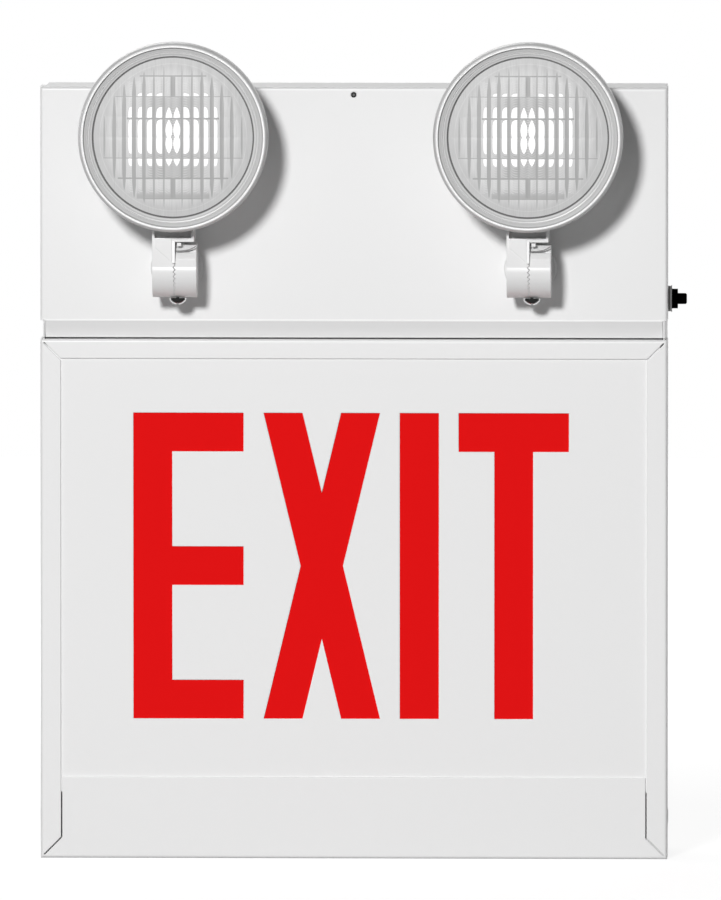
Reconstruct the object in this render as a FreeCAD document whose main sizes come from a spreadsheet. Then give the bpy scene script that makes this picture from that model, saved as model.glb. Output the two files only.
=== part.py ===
"""Emergency exit light: a folded steel wall cabinet with an illuminated sign face in its lower
half and two aimable lamp heads on its upper cover.  Millimetres.

The frame's origin is the middle of the four wall holes, on the back plane: +Z up, +Y into the
wall, so the sign faces -Y.  Every lamp-head piece is drawn about the middle of its swivel disc on
the cover's front face and then placed on the left or the right of the cabinet.
"""
import FreeCAD, Part
import math
import os

import Sketcher

V = FreeCAD.Vector
doc = FreeCAD.newDocument("exit_light")
sheet = doc.addObject("Spreadsheet::Sheet", "Sizes")
sheet.set("A1", "size")
sheet.set("B1", "value")


class Dim:
    """A length that carries its own expression over the sheet's cells, beside its value."""

    def __init__(self, text, value):
        self.text, self.value = text, value

    def __add__(self, o):
        return Dim("(%s + %s)" % (self.text, text_of(o)), self.value + value_of(o))

    def __radd__(self, o):
        return Dim("(%s + %s)" % (text_of(o), self.text), value_of(o) + self.value)

    def __sub__(self, o):
        return Dim("(%s - %s)" % (self.text, text_of(o)), self.value - value_of(o))

    def __rsub__(self, o):
        return Dim("(%s - %s)" % (text_of(o), self.text), value_of(o) - self.value)

    def __mul__(self, o):
        return Dim("(%s * %s)" % (self.text, text_of(o)), self.value * value_of(o))

    __rmul__ = __mul__

    def __truediv__(self, o):
        return Dim("(%s / %s)" % (self.text, text_of(o)), self.value / value_of(o))

    def __neg__(self):
        return Dim("(0 - %s)" % self.text, -self.value)


def value_of(d):
    return d.value if isinstance(d, Dim) else float(d)


def text_of(d):
    return d.text if isinstance(d, Dim) else repr(float(d))


def ball(y0, r0, y1, r1):
    """Radius of the sphere about the turning axis that passes through two points (y, radius)."""
    y0, r0, y1, r1 = (d if isinstance(d, Dim) else Dim(repr(float(d)), float(d))
                      for d in (y0, r0, y1, r1))
    centre = ((y1 * y1 + r1 * r1) - (y0 * y0 + r0 * r0)) / ((y1 - y0) * 2)
    square = (y0 - centre) * (y0 - centre) + r0 * r0
    return Dim("sqrt(%s)" % square.text, math.sqrt(square.value))


def size(word, value, note):
    """One row of the sheet: a note, the plain number and its alias."""
    row = size.row = getattr(size, "row", 1) + 1
    sheet.set("A%d" % row, note)
    sheet.set("B%d" % row, str(value))
    sheet.setAlias("B%d" % row, word)
    return Dim("Sizes." + word, float(value))


# ---- cabinet sheet metal
STEEL = size("steel", 1.2, "cabinet sheet thickness")
SEAT = size("seat", 0.05, "gap between faces that are clamped together")
LAP = size("lap", 0.5, "play between the covers' flanges and the box they wrap")
WIDTH = size("width", 415.6, "covers, side to side")
DEPTH = size("depth", 95.0, "wall to the covers' front face")
WRAP = size("wrap", 28.0, "how far the covers' flanges reach back")
BEND = size("bend", 1.8, "outside radius of a bend")
LIP = size("lip", 12.0, "box's front return lip")
FRAME_H = size("frame_high", 344.9, "sign frame height")
SEAM = size("seam", 1.0, "open seam between the upper cover and the sign frame")
COVER_H = size("cover_high", 166.3, "upper cover, from the seam to its top")
CHIN_H = size("chin_high", 11.6, "height of the upper cover's sloping chin")
CHIN_BACK = size("chin_back", 4.6, "how far the chin slopes back")
CHIN_RETURN = size("chin_return", 12.0, "flat return behind the chin")
CHIN_INSET = size("chin_inset", 3.1, "chin stops short of the cover's sides")
TOP_BAND = size("top_band", 12.8, "sign frame's flange above the face")
SIDE_BAND = size("side_band", 13.5, "sign frame's flanges beside the face")
FOOT_BAND = size("foot_band", 54.0, "sign frame's flange below the face")
MITRE = size("mitre", 0.8, "open slit where two flanges meet")
HEIGHT = FRAME_H + SEAM + COVER_H
HALF_W = WIDTH / 2
BASE = -HEIGHT / 2
TOP = HEIGHT / 2
INSET = STEEL + LAP
BOX_HALF = HALF_W - INSET
BOX_DEPTH = DEPTH - STEEL - SEAT
SPLIT = BASE + FRAME_H + SEAM
FOLD = SPLIT + CHIN_H

# ---- sign face
FACE_IN = size("face_in", 4.8, "face sheet's sides inside the frame's")
FACE_DOWN = size("face_down", 3.9, "face sheet's upper edge below the frame's top")
FACE_T = size("face_thick", 0.8, "face sheet thickness")
FACE_UP = size("face_up", 44.0, "face sheet's lower edge above the frame's foot")
RED_T = size("red_thick", 1.6, "red acrylic diffuser thickness")
RED_TRIM = size("red_trim", 2.0, "diffuser's edge inside the face sheet's")
FACE_W = WIDTH - FACE_IN * 2
FACE_H = FRAME_H - FACE_UP - FACE_DOWN
RED_Y = -DEPTH + STEEL + FACE_T + SEAT * 2
LIP_DEPTH = BOX_DEPTH - FACE_T - RED_T - SEAT * 2

# ---- wall fixing
HOLE_X = size("hole_across", 150.0, "wall holes from the middle, sideways")
HOLE_Z = size("hole_up", 180.0, "wall holes from the middle, up and down")
HOLE_R = size("hole_radius", 3.5, "wall hole radius")
BOX_HOLE = size("junction_hole", 44.45, "junction-box screw holes from the middle")
BOX_HOLE_R = size("junction_radius", 2.3, "junction-box screw hole radius")
KNOCK_R = size("knock_radius", 11.1, "knockout disc radius")
KNOCK_CUT = size("knock_cut", 0.35, "depth of the groove round a knockout")

# ---- screws and clips of the covers
COVER_SCREW_Z = TOP - size("cover_screw_down", 5.0, "cover screw below the cover's top edge")
SCREW_R = size("screw_radius", 1.25, "cover screw shank radius")
SCREW_HEAD = size("screw_head", 2.1, "cover screw head radius")
SNAP_UP = size("side_screw_up", 28.0, "side screws above the frame's foot")
SIDE_R = size("side_screw_radius", 1.9, "side screw shank radius")
SIDE_HEAD = size("side_screw_head", 7.0, "side screw head radius")
SIDE_TALL = size("side_screw_tall", 0.5, "side screw head height")
CLIP = size("clip_thick", 0.8, "spring clip thickness")

# ---- lamp heads, measured from the middle of the swivel disc
DISC_X = size("disc_across", 117.1, "swivel disc from the middle line")
DISC_UP = size("disc_up", 46.5, "swivel disc above the seam")
DISC_R = size("disc_radius", 17.35, "swivel disc radius")
DISC_T = size("disc_thick", 4.0, "swivel disc thickness")
RUN = size("run", 0.3, "running gap between bodies")
FIT = size("fit", 0.05, "radial play of a turning or sliding fit")
STUB_R = size("stub_radius", 10.0, "threaded stub through the cover")
STUB_LONG = size("stub_long", 13.0, "stub behind the cover's front face")
NUT_T = size("nut_thick", 5.0, "swivel locknut thickness")
NUT_R = size("nut_corner", 16.0, "swivel locknut corner radius")
PIVOT_Y = size("pivot_out", 33.0, "tilt axis in front of the cover")
HALF_X = size("half_wide", 14.6, "width of one half of the knuckle")
BARREL = size("barrel", 17.6, "radius of the knuckle's rounded end")
FLAT_IN = size("flat_in", 0.3, "knuckle's flat front behind its rounded end")
CHEEK = size("cheek", 19.3, "radius of the fixed half's crown corners")
CROWN_R = size("crown_radius", 18.4, "radius of the toothed ring")
CROWN_GAP = size("crown_gap", 0.4, "gap across the meshed teeth, along the axis")
TEETH = size("teeth", 36, "teeth round the crown")
TOOTH_T = size("tooth_slope", 0.0437, "half a tooth's height over its radius")
RELIEF = size("relief", 1.0, "step back of each half beyond the toothed ring")
POST_R = size("post_radius", 12.0, "stem from the swivel disc to the fixed half")
NECK_Z = size("neck_up", 19.9, "underside of the neck above the tilt axis")
NECK_X = size("neck_over", 13.1, "neck's reach over the fixed half")
STEP_Z = size("step_up", 12.8, "step on the fixed half above the tilt axis")
STEP_Y = size("step_out", 13.8, "step's distance in front of the tilt axis")
STEP_CUT = size("step_cut", 0.9, "groove at the foot of the step")
WEB = size("web", 1.7, "wall beside the neck's open front")
SILL = size("sill", 2.6, "floor of the neck's open front")
NECK_DEEP = size("neck_deep", 9.0, "depth of the neck's open front")
BOLT_R = size("bolt_radius", 2.5, "tilt bolt radius")
BOLT_HEAD = size("bolt_head", 5.0, "tilt bolt head radius")
LOCK_X = size("lock_across", 1.8, "lock screw beside the parting plane")
LOCK_R = size("lock_radius", 1.2, "lock screw shank radius")
LOCK_HEAD = size("lock_head", 5.45, "lock screw head radius")
LOCK_TALL = size("lock_tall", 4.6, "lock screw head height")
ARM = size("arm", 90.0, "tilt axis to the lamp's middle")
BOWL_R = size("bowl_radius", 60.3, "lamp shell radius under the rim")
BOWL_BACK = size("bowl_back", 9.5, "lamp shell's back in front of the cover")
BOWL_BUTT = size("bowl_butt", 15.0, "radius of the shell's flat back")
WALL = size("wall", 2.2, "moulded wall thickness")
NECK_RUN = size("neck_run", 28.3, "neck's reach into the shell")
RIM_WALL = size("rim_wall", 2.4, "rim's outside over the shell's")
RIM_BACK = size("rim_back", 57.0, "rim's rear edge in front of the cover")
RIM_FRONT = size("rim_front", 73.0, "rim's front edge in front of the cover")
RIM_ROUND = size("rim_round", 4.2, "radius of the rim's front corner")
CREST_IN = size("crest_in", 2.5, "rim's front crest inside its edge")
BEZEL_IN = size("bezel_in", 4.3, "outer edge of the bezel's cone inside the rim's edge")
LENS_ROOM = size("lens_room", 0.9, "play round the lens disc")
LENS_HOLD = size("lens_hold", 3.8, "rim's lap over the lens")
LENS_SET = size("lens_set", 5.8, "lens seat behind the rim's front")
LENS_T = size("lens_thick", 3.0, "lens thickness")
LENS_CROWN = size("lens_crown", 3.6, "lens dome height")
SOCKET_R = size("socket_radius", 9.0, "bulb hole in the reflector")
SOCKET_OUT = size("socket_out", 20.0, "reflector's neck in front of the cover")
NECK_T = size("reflector_neck", 2.5, "length of the reflector's neck")
MIRROR_T = size("mirror_thick", 1.6, "reflector thickness at its edge")
GLASS_R = size("bulb_glass", 4.6, "bulb's glass radius")
GLASS_LONG = size("bulb_long", 15.0, "bulb's glass beyond its flange")
RIM_R = BOWL_R + RIM_WALL
CREST_R = RIM_R - CREST_IN
BEZEL_R = RIM_R - BEZEL_IN
LENS_R = BOWL_R - WALL - LENS_ROOM
EYE_R = LENS_R - LENS_HOLD

# ---- test switch on the right side
SW_Y = size("switch_deep", 45.0, "switch in front of the wall")
SW_UP = size("switch_up", 23.7, "switch above the seam")
COLLAR_R = size("collar_radius", 6.55, "switch's threaded collar radius")
RING_R = size("ring_radius", 8.5, "switch ring nut radius")
RING_T = size("ring_thick", 3.8, "switch ring nut thickness")
COLLAR_OUT = size("collar_out", 3.9, "collar beyond the ring nut")
BUTTON_R = size("button_radius", 3.65, "push button radius")
BUTTON_OUT = size("button_out", 6.0, "push button beyond the collar")
PRESS = size("press", 2.5, "push button travel")

NODES = []


def node(obj, label, x=0, y=0, z=0):
    """Name a finished sub-part and put it in its place."""
    obj.Label = label
    if (x, y, z) != (0, 0, 0):
        place(obj, x, y, z)
    NODES.append(obj)
    return obj


def put(obj, prop, d):
    setattr(obj, prop, value_of(d))
    if isinstance(d, Dim):
        obj.setExpression(prop, d.text)


def place(obj, x, y, z, turn=None):
    obj.Placement = FreeCAD.Placement(V(value_of(x), value_of(y), value_of(z)),
                                      turn or FreeCAD.Rotation())
    for axis, d in zip("xyz", (x, y, z)):
        if isinstance(d, Dim):
            obj.setExpression("Placement.Base." + axis, d.text)


TURN = {"x": FreeCAD.Rotation(V(0, 1, 0), 90), "y": FreeCAD.Rotation(V(1, 0, 0), -90),
        "z": FreeCAD.Rotation()}


def box(x0, x1, y0, y1, z0, z1):
    """A block between two corners."""
    o = doc.addObject("Part::Box", "block")
    put(o, "Length", x1 - x0)
    put(o, "Width", y1 - y0)
    put(o, "Height", z1 - z0)
    place(o, x0, y0, z0)
    return o


def rod(axis, x, y, z, radius, length):
    """A cylinder that starts at a point and runs along +axis."""
    o = doc.addObject("Part::Cylinder", "rod")
    put(o, "Radius", radius)
    put(o, "Height", length)
    place(o, x, y, z, TURN[axis])
    return o


def taper(axis, x, y, z, r0, r1, length):
    o = doc.addObject("Part::Cone", "taper")
    put(o, "Radius1", r0)
    put(o, "Radius2", r1)
    put(o, "Height", length)
    place(o, x, y, z, TURN[axis])
    return o


def hexagon(axis, x, y, z, corner, length):
    o = doc.addObject("Part::Prism", "hexagon")
    o.Polygon = 6
    put(o, "Circumradius", corner)
    put(o, "Height", length)
    place(o, x, y, z, TURN[axis])
    return o


def join(*parts):
    o = doc.addObject("Part::MultiFuse", "joined")
    o.Shapes = list(parts)
    return o


def cut(base, *tools):
    o = doc.addObject("Part::Cut", "trimmed")
    o.Base = base
    o.Tool = tools[0] if len(tools) == 1 else join(*tools)
    return o


def common(a, b):
    o = doc.addObject("Part::MultiCommon", "shared")
    o.Shapes = [a, b]
    return o


# ---- PartDesign helpers: every sketch point is held by the sheet's sizes
def body(name):
    return doc.addObject("PartDesign::Body", name)


def origin_of(b, role):
    return [f for f in b.Origin.OriginFeatures if f.Role == role][0]


def sketch(b, plane, offset=0):
    sk = b.newObject("Sketcher::SketchObject", "profile")
    sk.AttachmentSupport = (origin_of(b, plane + "_Plane"), "")
    sk.MapMode = "FlatFace"
    sk.AttachmentOffset = FreeCAD.Placement(V(0, 0, value_of(offset)), FreeCAD.Rotation())
    if isinstance(offset, Dim):
        sk.setExpression("AttachmentOffset.Base.z", offset.text)
    return sk


def hold(sk, kind, *args):
    """Add a dimension to the sketch and bind it to the sheet."""
    d = args[-1]
    i = sk.addConstraint(Sketcher.Constraint(kind, *args[:-1], value_of(d)))
    if isinstance(d, Dim):
        sk.setExpression("Constraints[%d]" % i, d.text)


def outline(sk, points):
    """A closed outline.  A point is (u, v), or (u, v, radius) where an arc of that radius leaves
    it; a minus radius bends the other way."""
    pts = [V(value_of(p[0]), value_of(p[1]), 0) for p in points]
    ids, ends = [], []
    for i, p in enumerate(points):
        a, b = pts[i], pts[(i + 1) % len(pts)]
        if len(p) == 2:
            ids.append(sk.addGeometry(Part.LineSegment(a, b), False))
            ends.append((1, 2))
            continue
        radius = value_of(p[2])
        first, last = (b, a) if radius > 0 else (a, b)
        half = (b - a).Length / 2
        away = V((first - last).y, -(first - last).x, 0).normalize()
        centre = (a + b) * 0.5 + away * math.sqrt(radius * radius - half * half)
        start, stop = (math.atan2(e.y - centre.y, e.x - centre.x) for e in (first, last))
        if stop < start:
            stop += 2 * math.pi
        ring = Part.Circle(centre, V(0, 0, 1), abs(radius))
        ids.append(sk.addGeometry(Part.ArcOfCircle(ring, start, stop), False))
        ends.append((2, 1) if radius > 0 else (1, 2))
    for i, p in enumerate(points):
        j = (i + 1) % len(points)
        sk.addConstraint(Sketcher.Constraint("Coincident", ids[i], ends[i][1], ids[j], ends[j][0]))
        hold(sk, "DistanceX", -1, 1, ids[i], ends[i][0], p[0])
        hold(sk, "DistanceY", -1, 1, ids[i], ends[i][0], p[1])
        if len(p) == 3:
            r = p[2]
            hold(sk, "Radius", ids[i], -r if value_of(r) < 0 else r)
    return sk


def circle(sk, u, v, radius):
    g = sk.addGeometry(Part.Circle(V(value_of(u), value_of(v), 0), V(0, 0, 1), value_of(radius)),
                       False)
    hold(sk, "DistanceX", -1, 1, g, 3, u)
    hold(sk, "DistanceY", -1, 1, g, 3, v)
    hold(sk, "Radius", g, radius)
    return sk


def rectangle(sk, u0, u1, v0, v1):
    return outline(sk, [(u0, v0), (u1, v0), (u1, v1), (u0, v1)])


def feature(b, kind, sk, length=None, midplane=False, reverse=False, through=False):
    f = b.newObject("PartDesign::" + kind, kind.lower())
    f.Profile = sk
    if through:
        f.Type = 1
    if length is not None:
        put(f, "Length", length)
    if midplane:
        f.SideType = "Symmetric"
    f.Reversed = reverse
    sk.Visibility = False
    return f


def turned(b, sk, axis="Y_Axis", kind="Revolution"):
    f = b.newObject("PartDesign::" + kind, kind.lower())
    f.Profile = sk
    f.ReferenceAxis = (origin_of(b, axis), [""])
    f.Angle = 360.0
    return f


def lathe(name, points):
    """A turned solid about the body's Y axis; points are (y, radius)."""
    b = body(name)
    turned(b, outline(sketch(b, "YZ"), points))
    return b


def soften(b, radius, pick, kind="Fillet"):
    """Round the body's edges that pick accepts by their middle and direction."""
    doc.recompute()
    names = []
    for i, e in enumerate(b.Shape.Edges):
        if not isinstance(e.Curve, Part.Line):
            continue
        a, c = e.Vertexes[0].Point, e.Vertexes[-1].Point
        if pick((a + c) * 0.5, (c - a)):
            names.append("Edge%d" % (i + 1))
    f = b.newObject("PartDesign::" + kind, kind.lower())
    f.Base = (b.Tip if b.Tip is not f else f.BaseFeature, names)
    put(f, "Radius" if kind == "Fillet" else "Size", radius)
    return f


def near(a, d, tol=0.02):
    return abs(a - value_of(d)) < tol


# ======================================================================== cabinet
# Back box: a deep folded tray that hangs on the wall.  Its walls step back behind the sign face,
# so that the face sheet and the diffuser are clamped between its lips and the sign frame.
def back_box():
    x, low, high = BOX_HALF, BASE + INSET, TOP - INSET
    shell = join(box(-x, x, -BOX_DEPTH, 0, SPLIT, high), box(-x, x, -LIP_DEPTH, 0, low, SPLIT))
    inside = join(
        box(-x + STEEL, x - STEEL, -BOX_DEPTH + STEEL, -STEEL, SPLIT, high - STEEL),
        box(-x + STEEL, x - STEEL, -LIP_DEPTH + STEEL, -STEEL, low + STEEL, SPLIT))
    mouth = box(-x + LIP, x - LIP, -DEPTH, -LIP_DEPTH + STEEL + 1, low + LIP, high - LIP)
    chin_room = box(-x + STEEL, x - STEEL, -DEPTH, -LIP_DEPTH + STEEL + 1,
                    SPLIT - SEAM - STEEL - LAP, FOLD + 1)
    holes = []
    for sx in (-1, 1):
        for sz in (-1, 1):
            holes.append(rod("y", HOLE_X * sx, -STEEL * 2, HOLE_Z * sz, HOLE_R, STEEL * 3))
        holes.append(rod("y", BOX_HOLE * sx, -STEEL * 2, 0, BOX_HOLE_R, STEEL * 3))
    holes.append(rod("x", x - STEEL * 2, -SW_Y, SPLIT + SW_UP, COLLAR_R + FIT, STEEL * 3))
    holes.append(rod("y", 0, -BOX_DEPTH - 1, COVER_SCREW_Z, SCREW_R, STEEL + 2))
    for px in (-x - 1, x - STEEL * 2):
        holes.append(rod("x", px, -DEPTH + WRAP / 2, BASE + SNAP_UP, SIDE_R, STEEL * 3))
    for z in (-60, 0, 60):
        ring = cut(rod("y", 0, -KNOCK_CUT, z, KNOCK_R, 1), rod("y", 0, -1, z, KNOCK_R - 0.6, 3))
        holes.append(ring)
    for px in (-100, 100):
        ring = cut(rod("z", px, -DEPTH / 2, high - KNOCK_CUT, KNOCK_R, 1),
                   rod("z", px, -DEPTH / 2, high - 1, KNOCK_R - 0.6, 3))
        holes.append(ring)
    node(cut(shell, inside, mouth, chin_room, *holes), "back_box")


# Upper cover: one folded sheet.  The top and sides wrap back over the box, and the foot is a
# sloping chin with a flat return that hides the seam over the sign frame.
def upper_cover():
    b = body("cover_folds")
    front, back = -DEPTH, -DEPTH + WRAP
    sk = outline(sketch(b, "YZ"), [
        (front, FOLD), (front, TOP), (back, TOP), (back, TOP - STEEL),
        (front + STEEL, TOP - STEEL), (front + STEEL, FOLD)])
    feature(b, "Pad", sk, WIDTH, midplane=True)
    for side in (HALF_W - STEEL, -HALF_W):
        sk = rectangle(sketch(b, "YZ", side), front, back, FOLD, TOP)
        feature(b, "Pad", sk, STEEL)
    sk = outline(sketch(b, "YZ"), [
        (front, FOLD), (front + CHIN_BACK, SPLIT), (front + CHIN_BACK + CHIN_RETURN, SPLIT),
        (front + CHIN_BACK + CHIN_RETURN, SPLIT + STEEL),
        (front + CHIN_BACK + STEEL * 0.7, SPLIT + STEEL), (front + STEEL, FOLD + STEEL * 0.3),
        (front + STEEL * 0.5, FOLD + STEEL * 0.3)])
    feature(b, "Pad", sk, WIDTH - CHIN_INSET * 2, midplane=True)
    sk = sketch(b, "XZ", DEPTH - STEEL)
    for sx in (-1, 1):
        circle(sk, DISC_X * sx, SPLIT + DISC_UP, STUB_R + FIT)
    feature(b, "Pocket", sk, STEEL + 1, reverse=True)
    soften(b, BEND, lambda m, d: near(m.y, front) and (
        near(m.z, TOP) or near(abs(m.x), HALF_W)) and abs(d.y) < 0.01)
    soften(b, BEND / 3, lambda m, d: near(m.y, front + STEEL) and (
        near(m.z, TOP - STEEL) or near(abs(m.x), HALF_W - STEEL)) and abs(d.y) < 0.01)
    cone = taper("y", 0, -DEPTH - 0.01, COVER_SCREW_Z, SCREW_HEAD + FIT, SCREW_R + FIT * 2, STEEL)
    deep = rod("y", 0, -DEPTH, COVER_SCREW_Z, SCREW_R + FIT * 2, STEEL * 2)
    node(cut(b, cone, deep), "upper_cover")


# Sign frame: one folded sheet with four front flanges whose ends are mitred and left open.
def sign_frame():
    b = body("frame_folds")
    top = BASE + FRAME_H
    sk = rectangle(sketch(b, "XZ", DEPTH - WRAP), -HALF_W, HALF_W, BASE, top)
    feature(b, "Pad", sk, WRAP)
    sk = rectangle(sketch(b, "XZ", DEPTH - WRAP), -HALF_W + STEEL, HALF_W - STEEL,
                   BASE + STEEL, top - STEEL)
    feature(b, "Pocket", sk, WRAP - STEEL, reverse=True)
    sk = rectangle(sketch(b, "XZ", DEPTH), -HALF_W + SIDE_BAND, HALF_W - SIDE_BAND,
                   BASE + FOOT_BAND, top - TOP_BAND)
    feature(b, "Pocket", sk, STEEL * 2)
    soften(b, BEND, lambda m, d: near(m.y, -DEPTH) and (
        near(abs(m.x), HALF_W) or near(m.z, BASE) or near(m.z, top)))
    soften(b, BEND / 3, lambda m, d: near(m.y, -DEPTH + STEEL) and (
        near(abs(m.x), HALF_W - STEEL) or near(m.z, BASE + STEEL) or near(m.z, top - STEEL)))
    sk = sketch(b, "XZ", DEPTH)
    c = MITRE * 0.707
    start, past = BEND * 1.2, SIDE_BAND + 2
    for sx in (-1, 1):
        x1, x0 = (HALF_W - start) * sx, (HALF_W - SIDE_BAND) * sx
        x2 = (HALF_W - past) * sx
        outline(sk, [(x1, top - start - c), (x1, top - start), (x1 - c * sx, top - start),
                     (x2 - c * sx, top - past), (x2, top - past), (x2, top - past - c)])
        outline(sk, [(x1, BASE + start + c), (x1, BASE + start), (x1 - c * sx, BASE + start),
                     (x0 - c * sx, BASE + SIDE_BAND), (x0 - MITRE * sx, BASE + SIDE_BAND + c),
                     (x0 - MITRE * sx, BASE + FOOT_BAND + 1), (x0, BASE + FOOT_BAND + 1),
                     (x0, BASE + SIDE_BAND + c)])
    feature(b, "Pocket", sk, STEEL * 1.5)
    dimple = []
    for sx in (-1, 1):
        dimple.append(rod("x", HALF_W * sx - 2, -DEPTH + WRAP / 2, BASE + SNAP_UP, SIDE_R + 0.1, 4))
    room = HALF_W - STEEL
    for x0, x1 in ((-room, -BOX_HALF + STEEL + LAP), (BOX_HALF - STEEL - LAP, room)):
        dimple.append(box(x0, x1, -LIP_DEPTH - LAP, -DEPTH + WRAP + 1, top - STEEL, top + 1))
    node(cut(b, *dimple), "sign_frame")


def sign_parts():
    low = BASE + FACE_UP
    y = -DEPTH + STEEL + SEAT
    face = box(-FACE_W / 2, FACE_W / 2, y, y + FACE_T, low, low + FACE_H)
    node(face, "stencil_face")
    red = box(-FACE_W / 2 + RED_TRIM, FACE_W / 2 - RED_TRIM, RED_Y, RED_Y + RED_T,
              low + RED_TRIM, low + FACE_H - RED_TRIM)
    node(red, "red_diffuser")
    # Six spring clips: three hang from the frame's top wall, three stand on its lower flange.
    clips = []
    back = RED_Y + RED_T + SEAT
    roof = BASE + FRAME_H - STEEL - SEAT
    for px in (-120, 0, 120):
        clips.append(join(box(px - 8, px + 8, back, back + CLIP, roof - 18, roof),
                          box(px - 8, px + 8, back, back + 12, roof - CLIP, roof)))
        pad = low - SEAT
        clips.append(join(box(px - 8, px + 8, y, y + CLIP, pad - 16, pad),
                          box(px - 8, px + 8, y, back + CLIP, pad - CLIP, pad),
                          box(px - 8, px + 8, back, back + CLIP, pad - CLIP, pad + 9)))
    node(join(*clips), "face_clips")


def fasteners():
    z = COVER_SCREW_Z
    head = taper("y", 0, -DEPTH + 0.3, z, SCREW_HEAD - 0.28, SCREW_R, STEEL - 0.3)
    shank = rod("y", 0, -DEPTH + STEEL - 0.1, z, SCREW_R, 7)
    slot = box(-2.5, 2.5, -DEPTH, -DEPTH + 0.7, z - 0.3, z + 0.3)
    node(cut(join(head, shank), slot), "cover_screw")
    screws = []
    y = -DEPTH + WRAP / 2
    low = BASE + SNAP_UP
    right = join(taper("x", HALF_W, y, low, SIDE_HEAD, SIDE_HEAD * 0.55, SIDE_TALL),
                 rod("x", HALF_W - 9, y, low, SIDE_R, 9))
    left = join(taper("x", -HALF_W - SIDE_TALL, y, low, SIDE_HEAD * 0.55, SIDE_HEAD, SIDE_TALL),
                rod("x", -HALF_W, y, low, SIDE_R, 9))
    node(join(left, right), "frame_screws")


# ======================================================================== inside the cabinet
SHELF_UP = SPLIT + 2
SHELF_LIP = size("shelf_lip", 14.0, "height of the shelf's rear flange")
NOTCH_W = size("notch_wide", 40.0, "wiring notch in the shelf")
BATT_W = size("battery_wide", 151.0, "battery length")
BATT_D = size("battery_deep", 64.0, "battery depth")
BATT_H = size("battery_high", 94.0, "battery height")
BATT_X = size("battery_from_side", 20.0, "battery from the box's left wall")
BATT_BACK = size("battery_back", 3.0, "battery in front of the shelf's flange")
LID_H = size("lid_high", 8.0, "battery lid height")
LID_IN = size("lid_in", 1.5, "battery lid's edge inside the case's")
BLADE_W = size("blade_wide", 4.7, "blade terminal width")
BLADE_T = size("blade_thick", 0.8, "blade terminal thickness")
BLADE_H = size("blade_high", 7.0, "blade terminal height")
BLADE_IN = size("blade_in", 14.0, "blade terminals from the battery's ends")
STRAP = size("strap_thick", 1.2, "battery strap thickness")
STRAP_W = size("strap_wide", 16.0, "battery strap width")
STRAP_UP = size("strap_up", 38.0, "battery strap above the shelf")
STRAP_EAR = size("strap_ear", 14.0, "battery strap's screwed ears")
LIMB = size("limb", 9.5, "width of the transformer core's outer limbs")
CORE_D = size("core_deep", 36.0, "transformer core stack")
CORE_GAP = size("core_gap", 32.0, "transformer from the battery")
CORE_BACK = size("core_back", 2.0, "transformer in front of the shelf's flange")
COIL_OUT = size("coil_out", 10.0, "coil in front of the core")
BOARD_T = size("board_thick", 1.6, "printed board thickness")
BOARD_W = size("board_wide", 112.0, "printed board width")
BOARD_H = size("board_high", 84.0, "printed board height")
BOARD_IN = size("board_in", 13.0, "printed board from the box's right wall")
BOARD_UP = size("board_up", 62.0, "printed board above the shelf")
PILLAR_IN = size("pillar_in", 6.0, "board pillars from the board's edges")
PILLAR_H = size("pillar_high", 10.0, "board pillar height")
PILLAR_R = size("pillar_radius", 3.0, "board pillar radius")
RELAY_W = size("relay_wide", 28.0, "relay width")
RELAY_H = size("relay_high", 12.0, "relay height")
RELAY_T = size("relay_thick", 16.0, "relay thickness")
CAN_R = size("can_radius", 8.0, "capacitor radius")
CAN_H = size("can_high", 22.0, "capacitor height")
SINK_W = size("sink_wide", 30.0, "heat sink width")
SINK_H = size("sink_high", 34.0, "heat sink height")
SINK_T = size("sink_thick", 3.0, "heat sink base thickness")
FIN_H = size("fin_high", 14.0, "heat sink fin height")
FIN_T = size("fin_thick", 1.2, "heat sink fin thickness")
BLOCK_W = size("block_wide", 40.0, "terminal block width")
BLOCK_H = size("block_high", 12.0, "terminal block height and thickness")
WAYS = 5
BAR_IN = size("bar_in", 26.1, "light bar's ends short of the box's sides")
BAR_D = size("bar_deep", 16.0, "light bar depth")
BAR_H = size("bar_high", 5.0, "light bar height")
BAR_WALL = size("bar_wall", 1.5, "light bar wall")
BAR_Y = size("bar_out", 58.0, "light bar's front in front of the wall")
CHIP = size("chip", 5.0, "light-emitting diode package, square")
CHIPS = 12


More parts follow.
